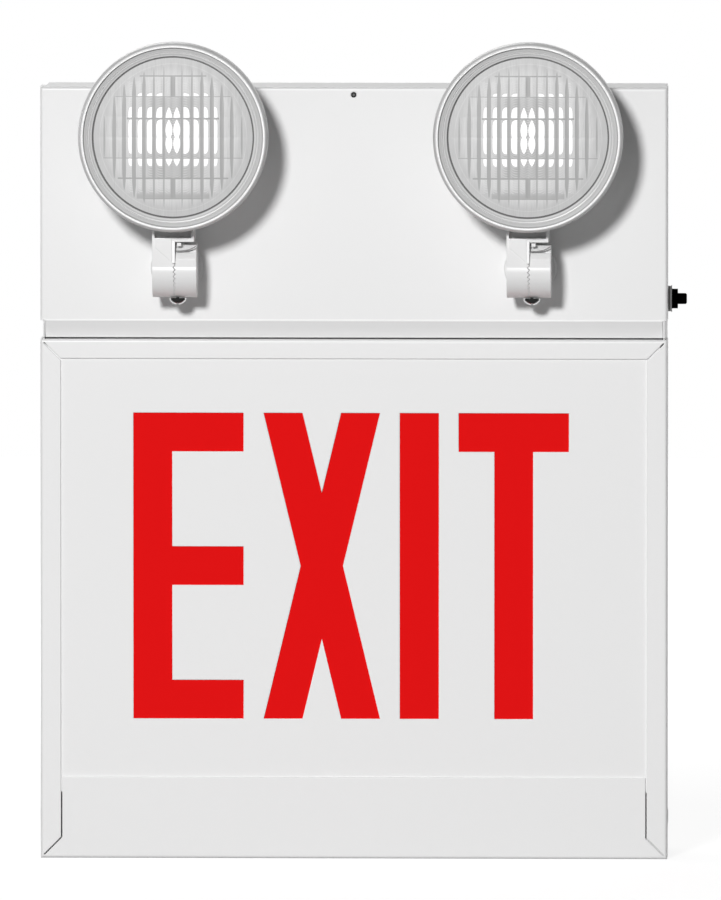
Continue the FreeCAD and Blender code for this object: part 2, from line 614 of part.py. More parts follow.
def insides():
    x = BOX_HALF - STEEL - LAP
    back = -STEEL - SEAT
    shelf = join(box(-x, x, -LIP_DEPTH + STEEL + LAP, back, SHELF_UP, SHELF_UP + STEEL),
                 box(-x, x, back - STEEL, back, SHELF_UP, SHELF_UP + SHELF_LIP))
    notch = box(x - NOTCH_W, x + 1, back - STEEL - BATT_BACK - 10, back - STEEL - 1,
                SHELF_UP - 1, SHELF_UP + STEEL + 1)
    node(cut(shelf, notch), "divider_shelf")
    floor = SHELF_UP + STEEL + SEAT

    # Battery: a sealed block with a lid, two blade terminals and a strap back to the box.
    bx0 = -BOX_HALF + STEEL + BATT_X
    bx1 = bx0 + BATT_W
    by1 = back - STEEL - BATT_BACK
    by0 = by1 - BATT_D
    lid = floor + BATT_H
    case = join(box(bx0, bx1, by0, by1, floor, lid - LID_H),
                box(bx0 + LID_IN, bx1 - LID_IN, by0 + LID_IN, by1 - LID_IN, lid - LID_H - 1, lid))
    node(case, "battery")
    tabs = [box(px, px + BLADE_W, by0 + BLADE_IN, by0 + BLADE_IN + BLADE_T, lid + SEAT,
                lid + BLADE_H) for px in (bx0 + BLADE_IN, bx1 - BLADE_IN - BLADE_W)]
    node(join(*tabs), "battery_terminals")
    s0, s1 = floor + STRAP_UP, floor + STRAP_UP + STRAP_W
    left, right = bx0 - SEAT, bx1 + SEAT
    hoop = join(box(left - STRAP, right + STRAP, by0 - STRAP - SEAT, by0 - SEAT, s0, s1),
                box(left - STRAP, left, by0 - STRAP, back, s0, s1),
                box(right, right + STRAP, by0 - STRAP, back, s0, s1),
                box(left - STRAP_EAR, left, back - STRAP, back, s0, s1),
                box(right, right + STRAP_EAR, back - STRAP, back, s0, s1))
    node(hoop, "battery_strap")
    heads = [rod("y", px, back - SEAT - STRAP - STRAP * 2, (s0 + s1) / 2, STRAP * 3, STRAP * 2)
             for px in (left - STRAP_EAR * 0.57, right + STRAP_EAR * 0.57)]
    node(join(*heads), "strap_screws")

    # Transformer: a laminated core of six by five limbs with two windows, and its winding.
    tx0 = bx1 + CORE_GAP
    ty1 = back - STEEL - CORE_BACK
    ty0 = ty1 - CORE_D
    core = cut(box(tx0, tx0 + LIMB * 6, ty0, ty1, floor, floor + LIMB * 5),
               box(tx0 + LIMB, tx0 + LIMB * 2, ty0 - 1, ty1 + 1, floor + LIMB, floor + LIMB * 4),
               box(tx0 + LIMB * 4, tx0 + LIMB * 5, ty0 - 1, ty1 + 1, floor + LIMB,
                   floor + LIMB * 4))
    node(core, "transformer_core")
    play = SEAT * 10
    coil = cut(box(tx0 + LIMB + play, tx0 + LIMB * 5 - play, ty0 - COIL_OUT, ty1 + play * 2,
                   floor + LIMB + play, floor + LIMB * 4 - play),
               box(tx0 + LIMB * 2 - SEAT, tx0 + LIMB * 4 + SEAT, ty0 - SEAT, ty1 + play * 3,
                   floor + LIMB, floor + LIMB * 4))
    node(coil, "transformer_coil")

    # Charger board on four pillars over the back, above the switch.
    cx1 = BOX_HALF - STEEL - BOARD_IN
    cx0 = cx1 - BOARD_W
    cz0 = floor + BOARD_UP
    cz1 = cz0 + BOARD_H
    cy = back - PILLAR_H
    holes, pillars, caps = [], [], []
    for px in (cx0 + PILLAR_IN, cx1 - PILLAR_IN):
        for pz in (cz0 + PILLAR_IN, cz1 - PILLAR_IN):
            holes.append(rod("y", px, cy - BOARD_T - 1, pz, PILLAR_R / 2 + 0.2, BOARD_T + 2))
            pillars.append(rod("y", px, cy + SEAT, pz, PILLAR_R, PILLAR_H - SEAT))
            caps.append(join(rod("y", px, cy - BOARD_T - SEAT - 2, pz, PILLAR_R - 0.1, 2),
                             rod("y", px, cy - BOARD_T - SEAT - 1, pz, PILLAR_R / 2, BOARD_T + 1)))
    node(cut(box(cx0, cx1, cy - BOARD_T, cy, cz0, cz1), *holes), "charger_board")
    node(join(*pillars), "board_standoffs")
    node(join(*caps), "board_screws")
    face = cy - BOARD_T - SEAT
    inner = PILLAR_IN * 2
    node(box(cx0 + inner, cx0 + inner + RELAY_W, face - RELAY_T, face, cz0 + inner,
             cz0 + inner + RELAY_H), "relay")
    far = cx1 - inner
    can = join(rod("y", far - BLOCK_W / 2, face - CAN_H, cz0 + inner + CAN_R, CAN_R, CAN_H),
               rod("y", far - BLOCK_W / 2, face - 1.5, cz0 + inner + CAN_R, CAN_R + 0.6, 1.5))
    node(can, "capacitor")

    # Heat sink: a base with a row of fins.
    b = body("finned_block")
    sk = rectangle(sketch(b, "XY"), 0, SINK_W, 0, SINK_T)
    feature(b, "Pad", sk, SINK_H)
    fin = feature(b, "Pad", rectangle(sketch(b, "XY"), 0, FIN_T, -FIN_H, 0.5), SINK_H)
    fins = b.newObject("PartDesign::LinearPattern", "fins")
    fins.Originals = [fin]
    fins.Direction = (origin_of(b, "X_Axis"), [""])
    put(fins, "Length", SINK_W - FIN_T)
    fins.Occurrences = 7
    b.Tip = fins
    node(b, "heat_sink", cx0 + inner, face - SINK_T, cz1 - inner - SINK_H)
    low = cz1 - inner - BLOCK_H
    pitch = BLOCK_W / (WAYS + 1)
    wires = [rod("y", far - pitch * (i + 1), face - BLOCK_H - 1, low + BLOCK_H / 2, BLOCK_H / 5,
                 BLOCK_H * 0.75) for i in range(WAYS)]
    node(cut(box(far - BLOCK_W, far, face - BLOCK_H, face, low, low + BLOCK_H), *wires),
         "terminal_block")

    # Two light bars wash the back of the diffuser, one under the shelf and one on the box floor.
    end = BOX_HALF - BAR_IN
    y0, y1 = -BAR_Y, -BAR_Y + BAR_D
    for word, z, up in (("upper", SHELF_UP - SEAT, -1), ("lower", BASE + INSET + STEEL + SEAT, 1)):
        z0, z1 = (z, z + BAR_H) if up > 0 else (z - BAR_H, z)
        t0, t1 = (z + BAR_WALL, z1 + 1) if up > 0 else (z0 - 1, z - BAR_WALL)
        rail = cut(box(-end, end, y0, y1, z0, z1),
                   box(-end - 1, end + 1, y0 + BAR_WALL, y1 - BAR_WALL, t0, t1))
        node(rail, "led_bar_" + word)
        seat = z + (BAR_WALL + SEAT) * up
        z0, z1 = (seat, seat + BOARD_T) if up > 0 else (seat - BOARD_T, seat)
        c0, c1 = (z1 - 0.2, z1 + 1) if up > 0 else (z0 - 1, z0 + 0.2)
        edge = BAR_WALL + SEAT * 10
        chips = [box(-end, end, y0 + edge, y1 - edge, z0, z1)]
        mid = (y0 + y1) / 2
        for i in range(CHIPS):
            px = end / CHIPS * (2 * i - CHIPS + 1)
            chips.append(box(px - CHIP / 2, px + CHIP / 2, mid - CHIP / 2, mid + CHIP / 2, c0, c1))
        node(join(*chips), "led_strip_" + word)


# Test switch: a push button in a threaded collar, held to the box's side by a ring nut.
def test_switch():
    wall = BOX_HALF
    z = 0
    inner = wall - STEEL - SEAT
    tip = wall + RING_T + COLLAR_OUT
    shell = join(box(inner - 20, inner, -8, 8, -8, 8), rod("x", inner - 1, 0, 0, COLLAR_R,
                                                            tip - inner + 1))
    bore = rod("x", inner - 17, 0, 0, BUTTON_R + FIT, tip - inner + 18)
    room = rod("x", inner - 17, 0, 0, 5.0, 10.3)
    where = (0, -SW_Y, SPLIT + SW_UP)
    node(cut(shell, bore, room), "switch_body", *where)
    ring = cut(join(rod("x", wall + SEAT, 0, 0, RING_R, RING_T - 1.2),
                    taper("x", wall + SEAT + RING_T - 1.21, 0, 0, RING_R - 0.3, RING_R + 0.5, 1.2)),
               rod("x", wall - 1, 0, 0, COLLAR_R + FIT, RING_T + 4))
    node(ring, "switch_nut", *where)
    stem = join(rod("x", inner - 8.5, 0, 0, BUTTON_R, tip + BUTTON_OUT - 0.8 - inner + 8.5),
                taper("x", tip + BUTTON_OUT - 0.81, 0, 0, BUTTON_R, BUTTON_R - 0.7, 0.8),
                rod("x", inner - 8.5, 0, 0, 4.6, 1.5))
    node(stem, "test_button", *where)
    helix = doc.addObject("Part::Helix", "coil_path")
    put(helix, "Pitch", 1.9)
    put(helix, "Height", 7.2)
    put(helix, "Radius", 3.6)
    wire = doc.addObject("Part::RegularPolygon", "coil_wire")
    wire.Polygon = 6
    put(wire, "Circumradius", 0.38)
    wire.Placement = FreeCAD.Placement(V(3.6, 0, 0), FreeCAD.Rotation(V(1, 0, 0), 90))
    spring = doc.addObject("Part::Sweep", "spring")
    spring.Sections = [wire]
    doc.recompute()
    spring.Spine = (helix, ["Edge%d" % (i + 1) for i in range(len(helix.Shape.Edges))])
    spring.Solid = True
    spring.Frenet = True
    node(spring, "switch_spring", *where)
    place(spring, inner - 16.4, -SW_Y, SPLIT + SW_UP, TURN["x"])
    blades = [box(inner - 27, inner - 20 - SEAT, -0.4, 0.4, s - 2.4, s + 2.4) for s in (-4.5, 4.5)]
    node(join(*blades), "switch_terminals", *where)


# ======================================================================== lamp heads
# Face teeth of the tilt joint: flat flanks that all run to one point on the tilt axis, so that
# both halves of the knuckle carry the same crown and mesh at every whole tooth.
def crown(name, sign):
    reach = value_of(CROWN_R) + 0.4
    count = 2 * int(value_of(TEETH))
    rise = value_of(TOOTH_T) * reach
    far = 6.0
    ring, back = [], []
    for i in range(count):
        turn = 2 * math.pi * i / count
        y, z = reach * math.cos(turn), reach * math.sin(turn)
        ring.append(V(rise if i % 2 else -rise, y, z))
        back.append(V(sign * far, y, z))
    faces = []
    for i in range(count):
        j = (i + 1) % count
        faces.append(Part.Face(Part.makePolygon([V(), ring[i], ring[j], V()])))
        faces.append(Part.Face(Part.makePolygon([ring[i], back[i], back[j], ring[j], ring[i]])))
    faces.append(Part.Face(Part.makePolygon(back + back[:1])))
    solid = Part.makeSolid(Part.makeShell(faces))
    if solid.Volume < 0:
        solid.reverse()
    o = doc.addObject("Part::Feature", name)
    o.Shape = solid
    place(o, CROWN_GAP / 2 * -sign, -PIVOT_Y, 0)
    return o


def half_trim(sign):
    """What is cut from a half of the knuckle at the parting plane: the crown inside the toothed
    ring and a plain step back outside it.  sign is the side that is cut away."""
    edge = RELIEF * -sign
    lo, hi = (edge, edge + 12) if sign > 0 else (edge - 12, edge)
    step = cut(box(lo, hi, -PIVOT_Y - 40, -PIVOT_Y + 40, -40, NECK_Z),
               rod("x", lo - 1, -PIVOT_Y, 0, CROWN_R - 0.01, 14))
    return [crown("crown", sign), step]


def swivel(side, sx):
    where = (DISC_X * sx, -DEPTH, SPLIT + DISC_UP)
    p = -PIVOT_Y
    # Fixed half: swivel disc, hollow stub through the cover, stem and the toothed cheek.
    disc = join(rod("y", 0, -RUN - DISC_T + 0.8, 0, DISC_R, DISC_T - 0.8),
                taper("y", 0, -RUN - DISC_T, 0, DISC_R - 0.8, DISC_R, 0.81))
    stub = rod("y", 0, -RUN - 1, 0, STUB_R, STUB_LONG + RUN + 1)
    stem = cut(rod("y", 0, p, 0, POST_R, PIVOT_Y - RUN - 1),
               box(-30, RELIEF, p - 30, p + BARREL + RUN * 2, -30, 30))
    cheek = join(rod("x", -3, p, 0, BARREL, HALF_X + 3),
                 cut(common(box(-3, HALF_X, p - BARREL + FLAT_IN, p + BARREL, 0, BARREL),
                            rod("x", -3, p, 0, CHEEK, HALF_X + 3)),
                     box(-4, HALF_X + 1, p - CHEEK, p - STEP_Y, STEP_Z, CHEEK),
                     box(-4, HALF_X - WEB, p - CHEEK, p - STEP_Y + STEP_CUT, STEP_Z,
                         STEP_Z + STEP_CUT)))
    trims = half_trim(-1)
    trims.append(box(-30, -0.9, p - 30, p + 15, -30, 30))
    solid = join(cut(cheek, *trims), stem, disc, stub)
    bolt_hole = rod("x", -5, p, 0, BOLT_R, HALF_X + 3)
    lock_hole = rod("z", LOCK_X, p, -BARREL - 1, LOCK_R, 9)
    bore = rod("y", 0, -4, 0, 5.5, STUB_LONG + 5)
    node(cut(solid, bolt_hole, lock_hole, bore), side + "_swivel_base", *where)
    nut = cut(hexagon("y", 0, STEEL + RUN, 0, NUT_R, NUT_T),
              rod("y", 0, 0, 0, STUB_R + 0.02, NUT_T + 5))
    node(nut, side + "_swivel_locknut", *where)
    bolt = join(rod("x", -HALF_X + 0.4, p, 0, BOLT_HEAD, 3.6),
                rod("x", -HALF_X + 3.9, p, 0, BOLT_R, HALF_X * 2 - 6.9))
    socket = hexagon("x", -HALF_X, p, 0, 2.9, 2.6)
    node(cut(bolt, socket), side + "_tilt_bolt", *where)
    z = -BARREL - 0.35
    dome = doc.addObject("Part::Sphere", "dome")
    put(dome, "Radius", 6.4)
    place(dome, LOCK_X, p, z - LOCK_TALL + 6.4)
    head = common(rod("z", LOCK_X, p, z - LOCK_TALL, LOCK_HEAD, LOCK_TALL), dome)
    lock = cut(join(head, rod("z", LOCK_X, p, z - 0.5, LOCK_R, 8)),
               box(LOCK_X - 0.6, LOCK_X + 0.6, p - 8, p + 8, z - LOCK_TALL - 1,
                   z - LOCK_TALL + 1.5))
    node(lock, side + "_lock_screw", *where)


def lamp(side, sx):
    where = (DISC_X * sx, -DEPTH, SPLIT + DISC_UP)
    axis = (DISC_X * sx, -DEPTH, SPLIT + DISC_UP + ARM)
    p = -PIVOT_Y
    rear = -BOWL_BACK
    mouth = -RIM_BACK + 1.0
    lap = -RIM_FRONT + LENS_SET + SEAT * 2
    # Shell: a die-cast bowl with the neck and the moving toothed half of the knuckle cast on.
    outer = lathe(side + "_bowl", [
        (rear, 0), (rear, BOWL_BUTT, -ball(rear, BOWL_BUTT, mouth, BOWL_R)), (mouth, BOWL_R),
        (lap, BOWL_R), (lap, 0)])
    hull, cavity, deep = BOWL_R - WALL, BOWL_BUTT - 1, rear - WALL
    inner = lathe(side + "_hollow", [
        (deep, 0), (deep, cavity, -ball(deep, cavity, mouth - 0.6, hull)), (mouth - 0.6, hull),
        (lap - 1, hull), (lap - 1, 0)])
    place(outer, 0, 0, ARM)
    place(inner, 0, 0, ARM)
    half = cut(join(rod("x", -HALF_X, p, 0, BARREL, HALF_X + 3),
                    box(-HALF_X, 3, p - BARREL + FLAT_IN, p + BARREL, 0, NECK_Z)),
               *half_trim(1))
    half_block = cut(half, box(0.9, 6, p - 30, p + 30, -30, NECK_Z))
    front = p - BARREL + FLAT_IN
    neck = cut(box(-HALF_X, NECK_X, front, p + BARREL, NECK_Z, ARM - BOWL_R + NECK_RUN),
               box(-HALF_X + WEB, NECK_X - WEB, front - 1, front + NECK_DEEP, NECK_Z + SILL,
                   ARM - BOWL_R + NECK_RUN + 1))
    bolt_way = rod("x", -HALF_X - 1, p, 0, BOLT_R + FIT, HALF_X + 3)
    head_way = rod("x", -HALF_X - 1, p, 0, BOLT_HEAD + RUN + 0.1, 5.3)
    node(cut(join(outer, half_block, neck), inner, bolt_way, head_way), side + "_lamp_shell",
         *where)
    # Rim: a spun ring that snaps over the shell and holds the lens in.
    f = -RIM_FRONT
    rim = lathe(side + "_rim", [
        (-RIM_BACK, BOWL_R + 0.3), (-RIM_BACK, RIM_R - 0.7), (-RIM_BACK - 0.9, RIM_R),
        (f + RIM_ROUND, RIM_R, RIM_ROUND), (f, CREST_R + 0.7), (f + 0.1, CREST_R - 0.7),
        (f + 1.2, BEZEL_R), (f + LENS_SET - 1.2, EYE_R + 0.3), (f + LENS_SET - 0.6, EYE_R),
        (f + LENS_SET, EYE_R), (f + LENS_SET, BOWL_R + 0.3)])
    node(rim, side + "_lamp_rim", *axis)
    seat = f + LENS_SET + SEAT
    peak = seat - LENS_CROWN
    dome = ball(seat, EYE_R, peak, 2)
    glass = lathe(side + "_glass", [
        (seat, LENS_R), (seat, EYE_R, -dome), (peak, 2), (peak, 0), (peak + LENS_T, 0),
        (peak + LENS_T, 2, dome), (seat + LENS_T, EYE_R), (seat + LENS_T, LENS_R)])
    node(glass, side + "_lamp_lens", *axis)
    back = seat + LENS_T + SEAT
    neck = -SOCKET_OUT + NECK_T
    inside = (back + MIRROR_T * 0.75, LENS_R - 4.2, -SOCKET_OUT, SOCKET_R)
    outside = (neck, SOCKET_R + 2, back + MIRROR_T * 1.5, LENS_R - 2.6)
    mirror = lathe(side + "_mirror", [
        (back, LENS_R), (back, LENS_R - 3), (inside[0], inside[1], ball(*inside)),
        (-SOCKET_OUT, SOCKET_R), (neck, SOCKET_R), (neck, SOCKET_R + 2, -ball(*outside)),
        (outside[2], outside[3]), (back + MIRROR_T, LENS_R)])
    node(mirror, side + "_lamp_reflector", *axis)
    # Bulb: a moulded base in the reflector's neck, a flange that stops it, the glass and two pins.
    stop = -SOCKET_OUT - 5
    plug = rod("y", 0, stop + 2, 0, SOCKET_R - FIT * 2, 3.1 + NECK_T + 3.3)
    flange = rod("y", 0, stop, 0, SOCKET_R + 0.6, 2)
    glass = join(rod("y", 0, stop - GLASS_LONG + 4, 0, GLASS_R, GLASS_LONG - 3),
                 taper("y", 0, stop - GLASS_LONG + 2, 0, GLASS_R - 1.4, GLASS_R, 2.01))
    foot = stop + 2 + 3.1 + NECK_T + 3.2
    pins = join(*[box(px - 0.7, px + 0.7, foot, foot + 2.1, -2.4, 2.4) for px in (-4.3, 4.3)])
    node(join(plug, flange, glass, pins), side + "_lamp_bulb", *axis)


back_box()
upper_cover()
sign_frame()
sign_parts()
fasteners()
insides()
test_switch()
for side, sx in (("left", -1), ("right", 1)):
    swivel(side, sx)
    lamp(side, sx)

doc.recompute()
failed = [o.Name + " " + o.Label for o in doc.Objects
          if any(word in o.State for word in ("Invalid", "Error"))]
failed += [o.Label for o in NODES if o.Shape.isNull() or not o.Shape.isValid()
           or not o.Shape.Solids]
if failed:
    raise SystemExit("these did not build: " + ", ".join(failed))
os.makedirs("parts", exist_ok=True)
for o in NODES:
    o.Shape.exportStep("parts/" + o.Label + ".step")
    b = o.Shape.BoundBox
    print("%-24s %d solids  %10.1f mm3  x %.1f %.1f  y %.1f %.1f  z %.1f %.1f" % (
        o.Label, len(o.Shape.Solids), o.Shape.Volume, b.XMin, b.XMax, b.YMin, b.YMax, b.ZMin,
        b.ZMax))
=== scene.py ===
import math

import bmesh
import bpy
from mathutils import Matrix, Vector


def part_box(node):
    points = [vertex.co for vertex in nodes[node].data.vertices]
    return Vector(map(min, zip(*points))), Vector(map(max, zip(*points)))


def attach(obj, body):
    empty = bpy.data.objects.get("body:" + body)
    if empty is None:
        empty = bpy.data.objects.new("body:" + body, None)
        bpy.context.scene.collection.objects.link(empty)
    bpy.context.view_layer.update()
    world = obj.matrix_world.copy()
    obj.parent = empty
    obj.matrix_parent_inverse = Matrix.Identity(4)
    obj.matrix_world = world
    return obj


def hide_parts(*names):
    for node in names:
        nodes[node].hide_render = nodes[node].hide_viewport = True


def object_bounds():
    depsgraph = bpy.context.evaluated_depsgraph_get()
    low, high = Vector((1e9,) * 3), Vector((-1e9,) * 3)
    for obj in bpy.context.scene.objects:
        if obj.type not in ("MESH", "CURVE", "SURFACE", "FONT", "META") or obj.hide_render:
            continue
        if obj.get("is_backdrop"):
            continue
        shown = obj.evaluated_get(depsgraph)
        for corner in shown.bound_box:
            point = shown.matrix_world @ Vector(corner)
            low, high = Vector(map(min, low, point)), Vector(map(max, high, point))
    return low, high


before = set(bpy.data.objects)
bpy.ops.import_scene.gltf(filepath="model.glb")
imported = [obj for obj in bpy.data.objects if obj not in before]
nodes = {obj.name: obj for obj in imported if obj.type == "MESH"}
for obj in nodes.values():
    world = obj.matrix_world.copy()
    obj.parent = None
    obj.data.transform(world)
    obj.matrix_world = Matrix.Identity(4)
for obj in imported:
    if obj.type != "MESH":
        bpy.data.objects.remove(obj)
cad_low, cad_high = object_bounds()


# ---- Cabinet: back box, upper cover, sign frame and the shelf between them
# Zinc-coated steel sheet, sheared and folded, with 1.8 mm bends at the outer edges.
# Powder coated white inside and out; the folds are where light catches the coat.
def linear(colour):
    """A colour written as sRGB hex digits, as the linear values that a shader takes."""
    parts = [int(colour[i : i + 2], 16) / 255 for i in (0, 2, 4)]
    return [p / 12.92 if p <= 0.04045 else ((p + 0.055) / 1.055) ** 2.4 for p in parts]


def add(tree, kind, inputs=None, **settings):
    """A new node of this kind, with its settings, and each input given a value or a link."""
    node = tree.nodes.new(kind)
    for name, value in settings.items():
        setattr(node, name, value)
    for name, value in (inputs or {}).items():
        if isinstance(value, bpy.types.NodeSocket):
            tree.links.new(value, node.inputs[name])
        else:
            node.inputs[name].default_value = value
    return node


def finish(name, colour, rough, metal=0.0, **sockets):
    """A material of one colour; its other sockets are named with _ for each space."""
    material = bpy.data.materials.new(name)
    material.use_nodes = True
    shader = material.node_tree.nodes["Principled BSDF"]
    shader.inputs["Base Color"].default_value = (*linear(colour), 1)
    shader.inputs["Roughness"].default_value = rough
    shader.inputs["Metallic"].default_value = metal
    for key, value in sockets.items():
        shader.inputs[key.replace("_", " ")].default_value = value
    return material


def dress(material, *names):
    """Gives the named solids this material and no other."""
    for name in names:
        nodes[name].data.materials.clear()
        nodes[name].data.materials.append(material)


# Powder coat: satin, with the soft 2.1 mm waviness called orange peel.
powder = finish("white_powder_coat", "ECECEC", 0.34)
tree = powder.node_tree
shader = tree.nodes["Principled BSDF"]
place = add(tree, "ShaderNodeTexCoord")
inputs = {"Vector": place.outputs["Object"], "Scale": 1 / 0.0021, "Detail": 1.5}
peel = add(tree, "ShaderNodeTexNoise", inputs)
edge = add(tree, "ShaderNodeBevel", {"Radius": 0.0009}, samples=6)
inputs = {"Height": peel.outputs["Fac"], "Strength": 0.025, "Distance": 0.0004}
bump = add(tree, "ShaderNodeBump", inputs)
tree.links.new(edge.outputs["Normal"], bump.inputs["Normal"])
tree.links.new(bump.outputs["Normal"], shader.inputs["Normal"])

# Along the upper cover's lower fold a painted highlight: the coat is painted whiter there, as a thin line
# of light.
# Its middle's height above the cover's lower edge, how tall it is and how far back it goes, in m.
LINE_UP, LINE_TALL, LINE_DEEP = 0.0117, 0.0013, 0.0015
low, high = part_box("upper_cover")
spot = add(tree, "ShaderNodeSeparateXYZ", {"Vector": place.outputs["Object"]})
level = add(tree, "ShaderNodeMath", {0: spot.outputs["Z"], 1: low.z + LINE_UP}, operation="SUBTRACT")
level = add(tree, "ShaderNodeMath", {0: level.outputs[0]}, operation="ABSOLUTE")
level = add(tree, "ShaderNodeMath", {0: level.outputs[0], 1: LINE_TALL / 2}, operation="LESS_THAN")
front = add(tree, "ShaderNodeMath", {0: spot.outputs["Y"], 1: low.y + LINE_DEEP}, operation="LESS_THAN")
fold = add(tree, "ShaderNodeMath", {0: level.outputs[0], 1: front.outputs[0]}, operation="MULTIPLY")
inputs = {"Fac": fold.outputs[0], "Color1": (*linear("ECECEC"), 1), "Color2": (1, 1, 1, 1)}
tree.links.new(add(tree, "ShaderNodeMixRGB", inputs).outputs[0], shader.inputs["Base Color"])
dress(powder, "back_box", "upper_cover", "sign_frame", "divider_shelf", "stencil_face")


# ---- Sign face: one flat steel sheet with the legend cut through it
# 0.8 mm sheet, laser cut; the word is a stencil of 203 mm letters in strokes of 26 mm.
# It lies in front of the red panel, held by the frame's flanges and six spring clips.
STROKE, TALL, SILL = 0.0257, 0.2032, 0.0489
low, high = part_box("stencil_face")
foot = low.z + SILL
head = foot + TALL
waist = (foot + head) / 2
# E: a stem and three bars.
left, right, stem = -0.1462, -0.0731, 0.0258
letters = [
    [
        (left, foot),
        (right, foot),
        (right, foot + STROKE),
        (left + stem, foot + STROKE),
        (left + stem, waist - STROKE / 2),
        (right, waist - STROKE / 2),
        (right, waist + STROKE / 2),
        (left + stem, waist + STROKE / 2),
        (left + stem, head - STROKE),
        (right, head - STROKE),
        (right, head),
        (left, head),
    ]
]
# X: two slanting strokes whose edges meet in crotches above and below and nip in at the waist.
middle, spread, arm, crotch, nip = -0.0212, 0.0386, 0.0258, 0.0485, 0.0140
letters.append(
    [
        (middle - spread, foot),
        (middle - spread + arm, foot),
        (middle, waist - crotch),
        (middle + spread - arm, foot),
        (middle + spread, foot),
        (middle + nip, waist),
        (middle + spread, head),
        (middle + spread - arm, head),
        (middle, waist + crotch),
        (middle - spread + arm, head),
        (middle - spread, head),
        (middle - nip, waist),
    ]
)
# I: one stem.
left, right = 0.0305, 0.0564
letters.append([(left, foot), (right, foot), (right, head), (left, head)])
# T: a stem in the middle of one bar.
left, right, stem = 0.0695, 0.1426, 0.0257
centre = (left + right) / 2
letters.append(
    [
        (centre - stem / 2, foot),
        (centre + stem / 2, foot),
        (centre + stem / 2, head - STROKE),
        (right, head - STROKE),
        (right, head),
        (left, head),
        (left, head - STROKE),
        (centre - stem / 2, head - STROKE),
    ]
)
sheet_edge = [(low.x, low.z), (high.x, low.z), (high.x, high.z), (low.x, high.z)]
flat = bpy.data.curves.new("stencil_outline", "CURVE")
flat.dimensions = "2D"
flat.fill_mode = "BOTH"
flat.extrude = (high.y - low.y) / 2
for ring in [sheet_edge, *letters]:
    line = flat.splines.new("POLY")
    line.points.add(len(ring) - 1)
    line.use_cyclic_u = True
    for point, (x, z) in zip(line.points, ring):
        point.co = (x, z, 0, 1)


def shown(name, mesh, material, body, slot, *stands_for):
    """A finished mesh as a piece of this material that rides on a body."""
    mesh.materials.clear()
    mesh.materials.append(material)
    piece = bpy.data.objects.new(name, mesh)
    bpy.context.collection.objects.link(piece)
    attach(piece, body)
    if stands_for:
        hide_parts(*stands_for)


def as_mesh(holder):
    """The plain mesh that an object's curve or modifiers make; the object itself goes."""
    bpy.context.collection.objects.link(holder)
    bpy.context.view_layer.update()
    graph = bpy.context.evaluated_depsgraph_get()
    mesh = bpy.data.meshes.new_from_object(holder.evaluated_get(graph), depsgraph=graph)
    bpy.data.objects.remove(holder)
    return mesh


mesh = as_mesh(bpy.data.objects.new("stencil_source", flat))
mesh.transform(Matrix.Translation((0, (low.y + high.y) / 2, 0)) @ Matrix.Rotation(math.radians(90), 4, "X"))
shown("exit_stencil", mesh, powder, "cabinet", "cabinet_white", "stencil_face")

# Cast acrylic, red all through and slightly milky, so it looks matt and evenly lit.
red = finish("red_cast_acrylic", "EC0C0E", 0.8, IOR=1.49, Specular_IOR_Level=0.1)
dress(red, "red_diffuser")


# ---- Screws, clips and nuts
# Cold-formed steel, zinc plated; the ones on show in the side walls are painted with the cabinet.
# Plain zinc plating gives a soft grey metal with blurred reflections.
zinc = finish("zinc_plated_steel", "B4B4B2", 0.38, 1.0)
dress(zinc, "battery_strap", "strap_screws", "board_standoffs", "board_screws")
for side in ("left", "right"):
    dress(zinc, side + "_swivel_locknut", side + "_tilt_bolt")

# Black oxide screw: matt black, grey within 1 mm of its axis.
blackened = finish("black_oxide_steel", "141414", 0.5, Specular_IOR_Level=0.15)
tree = blackened.node_tree
low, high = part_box("cover_screw")
place = add(tree, "ShaderNodeTexCoord")
inputs = {0: place.outputs["Object"], 1: (low + high) / 2}
spot = add(tree, "ShaderNodeVectorMath", inputs, operation="SUBTRACT")
inputs = {0: spot.outputs[0], 1: (1.0, 0.0, 1.0)}
spot = add(tree, "ShaderNodeVectorMath", inputs, operation="MULTIPLY")
spot = add(tree, "ShaderNodeVectorMath", {0: spot.outputs[0]}, operation="LENGTH")
inputs = {"Value": spot.outputs["Value"], "From Min": 0.0011, "From Max": 0.0005}
grey_middle = add(tree, "ShaderNodeMapRange", inputs)
inputs = {"Fac": grey_middle.outputs[0], "Color1": (*linear("141414"), 1), "Color2": (*linear("6A6A6A"), 1)}
coat = add(tree, "ShaderNodeMixRGB", inputs)
tree.links.new(coat.outputs[0], tree.nodes["Principled BSDF"].inputs["Base Color"])
dress(blackened, "cover_screw")

# Bright zinc: its colour is painted dark face-on and white at the edges, a painted reflection of the room
# at its edges and of the dark knuckle above it elsewhere.
bright = finish("bright_zinc_plating", "DADADA", 0.14, 1.0)
tree = bright.node_tree
turned = add(tree, "ShaderNodeLayerWeight", {"Blend": 0.5})
inputs = {"Value": turned.outputs["Facing"], "From Min": 0.42, "From Max": 0.62}
share = add(tree, "ShaderNodeMapRange", inputs)
inputs = {"Fac": share.outputs[0], "Color1": (*linear("2A2A2A"), 1), "Color2": (1, 1, 1, 1)}
coat = add(tree, "ShaderNodeMixRGB", inputs)
tree.links.new(coat.outputs[0], tree.nodes["Principled BSDF"].inputs["Base Color"])
dress(bright, "left_lock_screw", "right_lock_screw")
